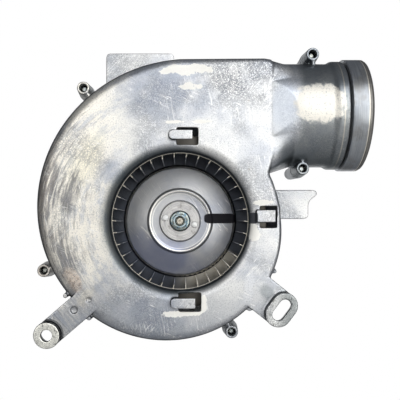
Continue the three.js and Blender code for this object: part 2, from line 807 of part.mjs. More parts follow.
/** Sintered bronze bearing bush. */
function bearingBush(y0, y1) {
  const bore = SHAFT_R + GAP + 0.05;
  return turnedRing(
    [
      [bore, y0],
      [6.9, y0],
      [6.9, y1],
      [bore, y1],
    ],
    16,
  );
}

const FRONT_FACE = STACK_Y[0];
const REAR_FACE = STACK_Y[1];

/** Spacer between the housing's rear wall and the motor. */
function motorPillar(x) {
  const [y0, y1] = [DEPTH + SEAT + GAP, FRONT_FACE - BRACKET_FOOT - GAP];
  const hexagon = bar(x, 0, y0, y1, PILLAR_R, PILLAR_R, 6);
  return hexagon.subtract(bar(x, 0, y0 - 1, y1 + 1, 2.4, 2.4, 8));
}

/** Long bolt through both brackets, the stack and the pillar into the housing. */
function motorBolt(x) {
  const headAt = REAR_FACE + BRACKET_FOOT + GAP;
  const socket = bar(x, 0, headAt + 2, headAt + 5, 1.6, 1.6, 6);
  return union([
    bar(x, 0, DEPTH - WALL + 0.5, headAt + 1, 1.9, 1.9, 8),
    bar(x, 0, headAt, headAt + 3.6, 3.6, 3.4, 12),
  ]).subtract(socket);
}

/** Washer of graphite felt that closes the shaft hole, seated in the rear wall. */
function shaftSeal() {
  return turnedRing(
    [
      [SHAFT_R + GAP + 0.2, DEPTH - 2.4],
      [9.5, DEPTH - 2.4],
      [9.5, DEPTH + 2],
      [SHAFT_R + GAP + 0.2, DEPTH + 2],
    ],
    20,
  );
}

const thrustWasher = (y) =>
  turnedRing(
    [
      [SHAFT_R + GAP + 0.05, y],
      [7, y],
      [7, y + WASHER],
      [SHAFT_R + GAP + 0.05, y + WASHER],
    ],
    16,
  );

const rotorCore = () =>
  turnedRing(
    [
      [SHAFT_R + GAP + 0.05, STACK_Y[0] - 1],
      [ROTOR_R - 2, STACK_Y[0] - 1],
      [ROTOR_R, STACK_Y[0] + 1],
      [ROTOR_R, STACK_Y[1] - 1],
      [ROTOR_R - 2, STACK_Y[1] + 1],
      [SHAFT_R + GAP + 0.05, STACK_Y[1] + 1],
    ],
    24,
  );

// ------------------------------------------------------------------ assembly

const blower = new THREE.Group();
const housing = new THREE.Group();
const wheel = new THREE.Group();
const motor = new THREE.Group();
blower.add(housing, wheel, motor);

function place(group, name, body, material) {
  const piece = new THREE.Mesh(geometryOf(body), material);
  piece.name = name;
  group.add(piece);
}

place(housing, 'housing_front', housingFront(), castAluminium);
place(housing, 'housing_rear', housingRear(), castAluminium);
place(housing, 'outlet_collar', outletCollar(), collarAluminium);
SCREW_BOSSES.forEach(([x, z], i) => {
  place(housing, `housing_screw_${i + 1}`, housingScrew(x, z), zincSteel);
});
place(housing, 'shaft_seal', shaftSeal(), sealGraphite);

place(wheel, 'blade_ring', bladeRing(), bladeSteel);
place(wheel, 'wheel_disc', wheelDisc(), sheetSteel);
place(wheel, 'wheel_hub', wheelHub(), hubSteel);
RIVET_ANGLES.forEach((angle, i) => {
  place(wheel, `hub_rivet_${i + 1}`, hubRivet(angle), hubSteel);
});
place(wheel, 'wheel_nut', wheelNut(), zincSteel);
place(wheel, 'motor_shaft', motorShaft(), hubSteel);
place(wheel, 'cooling_fan', coolingFan(), sheetSteel);
place(wheel, 'rotor_core', rotorCore(), laminationSteel);
WASHER_Y.forEach((y, i) => {
  place(wheel, `thrust_washer_${['front', 'rear'][i]}`, thrustWasher(y), bronze);
});

place(motor, 'stator_stack', statorStack(), laminationSteel);
[0, 180].forEach((turn, i) => {
  place(motor, `shading_ring_${i + 1}`, shadingRing(turn), copper);
});
place(motor, 'coil_bobbin', coilBobbin(), bobbinPlastic);
place(motor, 'coil_winding', coilWinding(), coilTape);
[-4, 8].forEach((x, i) => place(motor, `terminal_${i + 1}`, terminal(x), hubSteel));
place(motor, 'bearing_bracket_front', bearingBracket(FRONT_FACE, -1), castAluminium);
place(motor, 'bearing_bracket_rear', bearingBracket(REAR_FACE, 1), castAluminium);
place(motor, 'bearing_bush_front', bearingBush(FRONT_FACE - 12.5, FRONT_FACE - 5.5), bronze);
place(motor, 'bearing_bush_rear', bearingBush(REAR_FACE + 5.5, REAR_FACE + 12.5), bronze);
[-BOLT_X, BOLT_X].forEach((x, i) => {
  place(motor, `motor_pillar_${i + 1}`, motorPillar(x), zincSteel);
  place(motor, `motor_bolt_${i + 1}`, motorBolt(x), zincSteel);
});

export default blower;
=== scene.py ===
"""Flue-gas blower of a gas boiler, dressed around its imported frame.

The wheel axis is Y, the origin lies in the plane of the housing's front face and
Z is up. Lengths are written in millimetres and turned into metres where a mesh is
made.
"""

import math

import bmesh
import bpy
from mathutils import Matrix, Vector


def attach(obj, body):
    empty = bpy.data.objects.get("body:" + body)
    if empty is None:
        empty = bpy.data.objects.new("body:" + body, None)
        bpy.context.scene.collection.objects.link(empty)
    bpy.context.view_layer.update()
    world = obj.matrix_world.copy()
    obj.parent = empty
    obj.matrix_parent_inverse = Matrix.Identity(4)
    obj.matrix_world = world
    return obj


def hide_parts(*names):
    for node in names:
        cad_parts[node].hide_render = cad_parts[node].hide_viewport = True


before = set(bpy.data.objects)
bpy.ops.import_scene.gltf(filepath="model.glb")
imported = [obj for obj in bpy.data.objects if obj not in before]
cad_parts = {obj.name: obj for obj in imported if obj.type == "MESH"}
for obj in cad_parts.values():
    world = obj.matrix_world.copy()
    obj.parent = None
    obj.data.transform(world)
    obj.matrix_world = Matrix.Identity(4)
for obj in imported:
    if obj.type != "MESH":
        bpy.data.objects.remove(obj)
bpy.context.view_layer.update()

MM = 0.001

# ---------------------------------------------------------------------- camera
# A 54 mm lens on the wheel's axis, level with it and 407 mm in front of the
# housing. The shift puts the axis a little left of and below the middle.

camera_lens = bpy.data.cameras.new("camera")
camera_lens.lens = 54
camera_lens.sensor_width = 36
camera_lens.shift_x = 0.05
camera_lens.shift_y = 0.0525
camera = bpy.data.objects.new("camera", camera_lens)
camera.location = (0, -407 * MM, 0)
camera.rotation_euler = (math.pi / 2, 0, 0)
bpy.context.collection.objects.link(camera)
bpy.context.scene.camera = camera

# ------------------------------------------------------- front half of housing
# One aluminium pressure die casting: half of the scroll and of the outlet tube,
# the bell-mouth inlet with three hooks for a sliding plate, two feet, and the
# bosses that take the screws. Its front face is stained and rubbed bright; its
# material also paints shade in the inlet, in dents and at edges, and highlights on
# the tube.

WALL = 3
DEPTH = 64
SPLIT = 32
SEAM = 0.15  # each half stops this far from the split plane
SCROLL_START = 69  # radius of the scroll on the right, where it begins
SCROLL_GROWTH = 42.4 / 270  # what its radius gains in a degree
TUBE_Z = 76.4
TUBE_R = 37.1
TUBE_START = 79
BAND_R = 38.8
NECK_R = 36.4
NECK_END = 127.4
RAMP_X = (62.5, 80)  # the ramps lead from the flat faces out to the tube
SCREWS = [
    # x, z, and the point of the wall that the boss's web runs to
    (93.5, 117.5, 94.5, 108),
    (86.5, 37, 86.5, 46),
    (-68.1, 93.7, -60, 82.6),
    (-96.1, -35, -86, -31.3),
    (36.4, -78.1, 32, -68.7),
]
BOSS_R = 4.5
BOSS_FRONT = 15
BOSS_BACK = 66


def mesh_object(name, points, faces):
    """A closed mesh from points in millimetres, its faces turned outwards."""
    mesh = bpy.data.meshes.new(name)
    mesh.from_pydata([Vector(p) * MM for p in points], [], faces)
    work = bmesh.new()
    work.from_mesh(mesh)
    bmesh.ops.remove_doubles(work, verts=work.verts, dist=1e-6)
    bmesh.ops.dissolve_degenerate(work, edges=work.edges, dist=1e-7)
    bmesh.ops.recalc_face_normals(work, faces=work.faces)
    work.to_mesh(mesh)
    work.free()
    piece = bpy.data.objects.new(name, mesh)
    bpy.context.collection.objects.link(piece)
    return piece


def loft(name, rings):
    """A body through rings of points, each ring closed on itself."""
    count = len(rings[0])
    points = [p for ring in rings for p in ring]
    faces = [list(range(count)), list(range(len(points) - count, len(points)))]
    for level in range(len(rings) - 1):
        for i in range(count):
            a, b = level * count + i, level * count + (i + 1) % count
            faces.append([a, b, b + count, a + count])
    return mesh_object(name, points, faces)


def turned(name, profile, sides=96, centre=(0, 0)):
    """A body turned about Y from a closed outline of (radius, y) points."""
    points, faces = [], []
    for step in range(sides):
        turn = 2 * math.pi * step / sides
        for r, y in profile:
            points.append((centre[0] + r * math.cos(turn), y, centre[1] + r * math.sin(turn)))
    count = len(profile)
    for step in range(sides):
        here, there = step * count, (step + 1) % sides * count
        for i in range(count):
            j = (i + 1) % count
            faces.append([here + i, here + j, there + j, there + i])
    return mesh_object(name, points, faces)


def sheet(name, outline, y0, y1):
    """An outline of (x, z) points given thickness along Y."""
    return loft(name, [[(x, y, z) for x, z in outline] for y in (y0, y1)])


def box(name, low, high):
    """A block between its lowest and highest corners."""
    (x0, y0, z0), (x1, y1, z1) = low, high
    return sheet(name, [(x0, z0), (x1, z0), (x1, z1), (x0, z1)], y0, y1)


def rod(name, x, z, y0, y1, r0, r1=None, sides=48):
    """A round bar along Y, from radius r0 at y0 to r1 at y1."""
    end = r0 if r1 is None else r1
    return turned(name, [(0, y0), (r0, y0), (end, y1), (0, y1)], sides, (x, z))


def arc(centre, r, start, end, steps):
    """Points on an arc, angles in degrees."""
    angles = [math.radians(start + (end - start) * i / steps) for i in range(steps + 1)]
    return [(centre[0] + r * math.cos(a), centre[1] + r * math.sin(a)) for a in angles]


def slot_outline(centre, r, length, angle, steps=20):
    """Two half circles of radius r, their centres length apart."""
    dx = math.cos(math.radians(angle)) * length / 2
    dz = math.sin(math.radians(angle)) * length / 2
    first = arc((centre[0] + dx, centre[1] + dz), r, angle - 90, angle + 90, steps)
    second = arc((centre[0] - dx, centre[1] - dz), r, angle + 90, angle + 270, steps)
    return first + second


def strip(name, start, end, width, y0, y1, end_width=None):
    """A flat bar from one (x, z) point to another."""
    along = Vector((end[0] - start[0], end[1] - start[1])).normalized()
    side = Vector((-along.y, along.x))
    w0, w1 = width / 2, (end_width or width) / 2
    s, e = Vector(start), Vector(end)
    return sheet(name, [s + side * w0, s - side * w0, e - side * w1, e + side * w1], y0, y1)


def evaluated(piece):
    """Puts the piece's modifiers into its mesh."""
    graph = bpy.context.evaluated_depsgraph_get()
    mesh = bpy.data.meshes.new_from_object(piece.evaluated_get(graph))
    piece.modifiers.clear()
    piece.data = mesh


def carve(piece, joined=(), taken=(), shared=()):
    """Joins bodies to the piece, cuts others away or keeps what it shares with them."""
    tools = [("UNION", tool) for tool in joined]
    tools += [("DIFFERENCE", tool) for tool in taken]
    tools += [("INTERSECT", tool) for tool in shared]
    for operation, tool in tools:
        step = piece.modifiers.new("carve", "BOOLEAN")
        step.operation = operation
        step.solver = "MANIFOLD"
        step.object = tool
    evaluated(piece)
    for _, tool in tools:
        bpy.data.objects.remove(tool)
    return piece


def cast_skin(piece, grain=0.6, rounds=4, keep=0.3):
    """Rounds every edge and corner a little, as metal fills a die."""
    skin = piece.modifiers.new("skin", "REMESH")
    skin.mode = "VOXEL"
    skin.voxel_size = grain * MM
    skin.use_smooth_shade = True
    soften = piece.modifiers.new("soften", "SMOOTH")
    soften.factor = 0.5
    soften.iterations = rounds
    thin = piece.modifiers.new("thin", "DECIMATE")
    thin.ratio = keep
    evaluated(piece)
    piece.data.shade_smooth()


EXIT_SIDE = [
    # From the top of the scroll, down its right end and round the tongue
    (0, 111.4),
    (58, 111.4),
    (62.4, 110.6),
    (64.5, 108),
    (65.5, 57),
    (64.8, 46),
    (62.8, 38.4),
    (61.2, 33.6),
    (61.6, 31),
    (63.4, 27.2),
    (66.3, 18.5),
    (68.4, 9),
    (SCROLL_START, 0),
]


def scroll_radius(angle):
    """Radius of the scroll's outside, angle in degrees anticlockwise from +X."""
    if angle >= 90:
        turn = 360 - angle
        wave = 1.6 * math.sin(math.radians(turn * 360 / 270))
        return SCROLL_START + SCROLL_GROWTH * turn - wave
    c, s = math.cos(math.radians(angle)), math.sin(math.radians(angle))
    for (x0, z0), (x1, z1) in zip(EXIT_SIDE, EXIT_SIDE[1:]):
        across = c * (z1 - z0) - s * (x1 - x0)
        along = (s * x0 - c * z0) / across if abs(across) > 1e-9 else -1
        if -1e-9 <= along <= 1 + 1e-9:
            return (x0 * (z1 - z0) - z0 * (x1 - x0)) / across
    return SCROLL_START


def scroll_body(name, y0, y1, inset):
    """The scroll's volume, smaller by inset, its front edge widely rounded on the left."""
    corners = [math.degrees(math.atan2(z, x)) for x, z in EXIT_SIDE[1:-1]]
    angles = sorted(set([i * 2.5 for i in range(144)] + corners))

    def ring(place):
        points = []
        for angle in angles:
            c, s = math.cos(math.radians(angle)), math.sin(math.radians(angle))
            # the front edge is rounded to 2.8 on the right and 10.4 on the left
            edge = max(6.6 - 3.8 * c - inset, 1)
            inward, y = place(edge)
            r = scroll_radius(angle) - inset - inward
            points.append((r * c, y, r * s))
        return points

    steps = [math.radians(a) for a in range(0, 91, 10)]
    rings = [
        ring(lambda e, t=t: (e * (1 - math.sin(t)), y0 + e * (1 - math.cos(t)))) for t in steps
    ]
    rear = 3 if inset == 0 else 1.5
    rings += [
        ring(lambda e, t=t: (rear * (1 - math.sin(t)), y1 - rear * (1 - math.cos(t))))
        for t in reversed(steps[::3])
    ]
    return loft(name, rings)


def outlet_body(name, inset, start, profile):
    """The scroll's square end turning into a round tube along X."""
    sides = 128
    half_y, half_z = DEPTH / 2 - 0.1 - inset, 38.7 - inset
    middle_z = 72.6
    square_end = RAMP_X[0]
    turning = TUBE_START - square_end
    rings = []
    spread = [start, square_end] + [square_end + turning * i / 8 for i in range(1, 9)]
    for x, r in [(x, TUBE_R - inset) for x in spread] + profile:
        round_part = min(max((x - square_end) / turning, 0), 1)
        ring = []
        for i in range(sides):
            c, s = math.cos(2 * math.pi * i / sides), math.sin(2 * math.pi * i / sides)
            square = (abs(c / half_y) ** 9 + abs(s / half_z) ** 9) ** (-1 / 9)
            reach = square * (1 - round_part) + r * round_part
            z = middle_z * (1 - round_part) + TUBE_Z * round_part + reach * s
            ring.append((x, SPLIT + reach * c, z))
        rings.append(ring)
    return loft(name, rings)


def gas_passage():
    """The hollow from the wheel out to the end of the tube."""
    hollow = scroll_body("hollow", WALL, DEPTH - WALL, WALL)
    duct = outlet_body("duct", WALL, 44, [(105, TUBE_R - WALL), (NECK_END + 5, TUBE_R - WALL)])
    return carve(hollow, [duct])


def along_x(piece, y, z):
    """Lays a body turned about Y along X instead, its axis through (y, z)."""
    lay = Matrix.Translation((0, y * MM, z * MM)) @ Matrix.Rotation(-math.pi / 2, 4, "Z")
    piece.data.transform(lay)
    return piece


def housing_walls(name):
    """Scroll and outlet tube before they are hollowed and split.

    The tube runs back into the scroll; a ramp leads up to it from each flat face.
    """
    band = [
        (104.2, TUBE_R),
        (105, TUBE_R + 0.25),
        (106.8, BAND_R - 0.3),
        (107.6, BAND_R),
        (114, BAND_R),
        (114.5, BAND_R - 0.4),
        (114.6, NECK_R),
        (NECK_END, NECK_R),
    ]
    walls = scroll_body(name, 0, DEPTH, 0)
    outlet = outlet_body("outlet", 0, 56, band)
    tube = along_x(rod("tube", 0, 0, 50, 100, TUBE_R, sides=128), SPLIT, TUBE_Z)
    foot_x, crest_x = RAMP_X
    rise = TUBE_R - SPLIT + 0.2
    beyond = []
    for face, crest, far in ((0, -rise, -20), (DEPTH, DEPTH + rise, 90)):
        side = [(40, face), (foot_x, face), (crest_x, crest), (crest_x, far), (40, far)]
        beyond.append(loft("beyond", [[(x, y, z) for x, y in side] for z in (20, 130)]))
    return carve(walls, [outlet, tube], beyond)


def screw_bosses(y0, y1, r0, r1):
    """A boss for every screw, each with a web to the wall."""
    bosses = []
    for x, z, root_x, root_z in SCREWS:
        bosses.append(rod("boss", x, z, y0, y1, r0, r1, 40))
        bosses.append(strip("web", (x, z), (root_x, root_z), 1.7, y0 + 0.4, y1, 2.2))
    return bosses


def half_space(y0, y1):
    """All that lies between two planes across the axis."""
    return box("space", (-160, y0, -160), (180, y1, 180))


LEFT_PAD = (-89.5, -76.8)
RIGHT_PAD = (68.1, -59.7)
PAD_FACE = -6
PAD_R = 9
ARM_BACK = 8
SLOT_ANGLE = 53


def feet():
    """Two arms, level with the face, with raised pads at their ends."""
    right_root = (RIGHT_PAD[0] * 0.72 - 2, RIGHT_PAD[1] * 0.72)
    left_root = (LEFT_PAD[0] * 0.66, LEFT_PAD[1] * 0.66)
    pad_profile = [(0, PAD_FACE), (PAD_R - 0.4, PAD_FACE), (PAD_R, PAD_FACE + 0.4)]
    pad_profile += [(PAD_R, ARM_BACK), (0, ARM_BACK)]
    return [
        strip("left_arm", LEFT_PAD, left_root, 17.8, 0, ARM_BACK),
        turned("left_pad", pad_profile, 72, LEFT_PAD),
        strip("right_arm", RIGHT_PAD, right_root, 24.6, 0, ARM_BACK),
        sheet("right_pad", slot_outline(RIGHT_PAD, 8.8, 7.2, SLOT_ANGLE), PAD_FACE, ARM_BACK),
    ]


def foot_holes():
    """A round hole and a slot, both wider behind the pads' faces."""
    front, step, back = PAD_FACE - 1, PAD_FACE + 3.4, ARM_BACK + 1
    return [
        rod("hole", *LEFT_PAD, front, back, 3.85),
        rod("hole", *LEFT_PAD, step, back, 6.4),
        sheet("slot", slot_outline(RIGHT_PAD, 3.95, 7.9, SLOT_ANGLE), front, back),
        sheet("slot", slot_outline(RIGHT_PAD, 6.2, 7.2, SLOT_ANGLE), step, back),
    ]


DENTS = [(-72, -60.5, 2.5, 1.4), (-62, -53.6, 2, 1)]  # x, z, radius, depth


def ejector_marks():
    """Shallow round dents that the die's ejector pins left."""
    return [rod("dent", x, z, -1, depth, r) for x, z, r, depth in DENTS]


LIP_FACE_R = 54.5
THROAT_R = 47
LIP_DEPTH = 7.5


def inlet_lip():
    """Bell mouth: the face curls in and ends in a short throat."""
    curl, fall = LIP_FACE_R - THROAT_R, LIP_DEPTH - 0.6
    mouth = [
        (LIP_FACE_R - curl * math.sin(t), fall * (1 - math.cos(t)))
        for t in [math.radians(a) for a in range(0, 91, 6)]
    ]
    back = [(THROAT_R, LIP_DEPTH), (48.9, LIP_DEPTH), (49.6, 5.4), (51, 3.9)]
    back += [(53.4, WALL), (57.8, WALL), (57.8, 0)]
    return turned("lip", mouth + back, 180)


HOOKS = [
    # tongue x low, high, z low, high; window x low, high, z low, high
    ((-7.7, 8.4, 55, 61.4), (-2.4, 12.1, 51.6, 63.4)),
    ((-6.5, 10.3, -59, -51.9), (-0.8, 14.3, -61.4, -48.6)),
    ((51.5, 64.2, -1, 7.4), (54.5, 66, -4.8, 10.2)),
]
TONGUE_Y = (-4.2, -2)


def hooks():
    """Tongues that grow from the face at their left ends and point right."""
    bodies = []
    for (x0, x1, z0, z1), (window, _, _, _) in HOOKS:
        r = 3 if x0 < 0 else 0.8
        left = arc((x0 + r, z1 - r), r, 90, 180, 8) + arc((x0 + r, z0 + r), r, 180, 270, 8)
        bodies.append(sheet("tongue", [(x1, z0), (x1, z1)] + left, *TONGUE_Y))
        root = [(window - 0.2, z0), (window - 0.2, z1)] + left
        bodies.append(sheet("root", root, -2.5, WALL / 2))
    return bodies


def hook_windows():
    """The openings under the hooks' free ends, for the die's cores."""
    return [box("window", (x0, -1, z0), (x1, WALL + 1.5, z1)) for _, (x0, x1, z0, z1) in HOOKS]


NUBS = [(-78.6, -51.2), (-62.3, -66.6), (47.6, -60.2), (64.6, -34.4)]

housing_front = housing_walls("housing_front")
additions = feet() + screw_bosses(BOSS_FRONT, SPLIT + 2, BOSS_R, BOSS_R + 1.3)
additions += [rod("nub", x, z, 3, 30, 1.6, 2, 20) for x, z in NUBS]
openings = [
    gas_passage(),
    half_space(SPLIT - SEAM, 120),
    rod("mouth", 0, 0, -1, 5, 56.2, sides=180),
]
carve(housing_front, additions, openings)
carve(housing_front, [inlet_lip()], hook_windows())
holes = [rod("hole", x, z, BOSS_FRONT - 1, SPLIT + 1, 2.8) for x, z, _, _ in SCREWS]
carve(housing_front, hooks(), foot_holes() + holes + ejector_marks())
cast_skin(housing_front)


class Socket:
    """A shader socket that can stand in sums: the nodes are added as it is used."""

    def __init__(self, tree, output):
        self.tree = tree
        self.output = output

    def node(self, kind, settings=None, inputs=None, output=0):
        """Adds a node with its settings first, then its inputs' values or links."""
        made = self.tree.nodes.new(kind)
        for name, value in (settings or {}).items():
            setattr(made, name, value)
        for key, value in (inputs or {}).items():
            if isinstance(value, Socket):
                self.tree.links.new(value.output, made.inputs[key])
            else:
                made.inputs[key].default_value = value
        return Socket(self.tree, made.outputs[output])

    def maths(self, operation, *values):
        """A sum of one to three values, in the tree of this socket."""
        return self.node("ShaderNodeMath", {"operation": operation}, dict(enumerate(values)))

    def __add__(self, other):
        return self.maths("ADD", self, other)

    def __mul__(self, other):
        return self.maths("MULTIPLY", self, other)

    def __sub__(self, other):
        return self.maths("SUBTRACT", self, other)

    def __rsub__(self, other):
        return self.maths("SUBTRACT", other, self)

    def __truediv__(self, other):
        return self.maths("DIVIDE", self, other)

    __radd__ = __add__
    __rmul__ = __mul__

    def part(self, output):
        """Another output of the same node."""
        return Socket(self.tree, self.output.node.outputs[output])

    def between(self, low, high):
        """0 below low, 1 above high and smooth between them."""
        return self.node(
            "ShaderNodeMapRange",
            {"interpolation_type": "SMOOTHSTEP"},
            {"Value": self, "From Min": low, "From Max": high},
        )

    def near(self, value, width, soft):
        """1 within width of a value, fading to 0 over soft."""
        distance = self.maths("ABSOLUTE", self - value)
        return 1 - distance.between(width, width + soft)

    def tint(self, low_colour, high_colour):
        """From one colour to another as this goes from 0 to 1."""
        return self.node(
            "ShaderNodeMix",
            {"data_type": "RGBA", "clamp_factor": True},
            {0: self, 6: low_colour, 7: high_colour},
            output=2,
        )


def colour(red, green, blue):
    """A colour as it is seen on a screen, 0 to 255, as light values."""
    def light(level):
        level /= 255
        return level / 12.92 if level <= 0.04045 else ((level + 0.055) / 1.055) ** 2.4
    return (light(red), light(green), light(blue), 1)


def material(name, metallic, roughness):
    """A new material: its shader, and the place on the piece as the first socket."""
    made = bpy.data.materials.new(name)
    made.use_nodes = True
    tree = made.node_tree
    shader = tree.nodes["Principled BSDF"]
    shader.inputs["Metallic"].default_value = metallic
    shader.inputs["Roughness"].default_value = roughness
    place = Socket(tree, tree.nodes.new("ShaderNodeTexCoord").outputs["Object"])
    return made, shader, place


def feed(shader, **sockets):
    """Links sockets to the shader's inputs, underscores standing for spaces."""
    for name, socket in sockets.items():
        socket.tree.links.new(socket.output, shader.inputs[name.replace("_", " ")])


def grain(place, scale, detail=4, roughness=0.6, offset=0):
    """Cloudy noise between 0 and 1; scale is in features per metre."""
    return place.node(
        "ShaderNodeTexNoise",
        {"noise_dimensions": "4D"},
        {"Vector": place, "W": offset, "Scale": scale, "Detail": detail, "Roughness": roughness},
    )


def bumps(height, depth, strength):
    """A normal from a height of 0 to 1, depth in metres."""
    inputs = {"Strength": strength, "Distance": depth, "Height": height}
    return height.node("ShaderNodeBump", None, inputs)


def axes(place):
    """The place's x, y and z."""
    split = place.node("ShaderNodeSeparateXYZ", None, {"Vector": place})
    return split, split.part("Y"), split.part("Z")


def distance(across, up):
    """How far a place is from where both are 0."""
    return across.maths("SQRT", across * across + up * up)


def round_the_axis(place, around, across):
    """The place wound round the wheel's axis, for marks that follow a circle.

    The winding starts and ends on the right, under the witness line.
    """
    x, y, z = axes(place)
    turn = x.maths("ARCTAN2", 0 - z, 0 - x)
    wound = {"X": distance(x, z) * across, "Y": y * across, "Z": turn * around}
    return place.node("ShaderNodeCombineXYZ", None, wound)


def spots(place, scale, size, seed=0.0):
    """Scattered round spots: 1 inside a spot and 0 outside it."""
    cells = place.node(
        "ShaderNodeTexVoronoi",
        {"voronoi_dimensions": "4D", "feature": "F1"},
        {"Vector": place, "W": seed, "Scale": scale},
    )
    return 1 - cells.between(size * 0.6, size)


def ink_line(x, z, x0, x1):
    """Mask of the black line drawn with a felt pen: 1 inside and 0 outside."""
    middle, half = (x0 + x1) / 2, (x1 - x0) / 2
    height, reach = (z - 0.0019) / 0.0038, (x - middle) / half
    rounded = reach * reach * reach * reach * reach * reach + height * height * height * height
    return 1 - rounded.between(0.75, 1.1)


def blotch(x, z, centre, size, tilt, wander, loose=0.5):
    """A stain on the face: an ellipse in millimetres whose outline wanders with noise."""
    c, s = math.cos(math.radians(tilt)), math.sin(math.radians(tilt))
    dx, dz = x - centre[0] * MM, z - centre[1] * MM
    along = (dx * c + dz * s) / (size[0] * MM)
    across = (dz * c - dx * s) / (size[1] * MM)
    reach = along * along + across * across + (wander - 0.5) * 5 * loose
    return 1 - reach.between(0.1, 1.5)


def scratches(place, angle, scale, share):
    """Long thin marks in one direction: the part of a stretched noise near its middle."""
    stretched = place.node(
        "ShaderNodeMapping",
        {"vector_type": "TEXTURE"},
        {"Vector": place, "Rotation": (0, math.radians(angle), 0), "Scale": (24, 1, 1)},
    )
    lines = grain(stretched, scale, 2, 0.5, angle)
    patchy = grain(place, scale * 0.16, 2, 0.5, angle + 1)
    return lines.near(0.5, share, share) * patchy.between(0.54, 0.62)


def merged(*masks):
    """The strongest of several masks."""
    most = masks[0]
    for mask in masks[1:]:
        most = most.maths("MAXIMUM", most, mask)
    return most


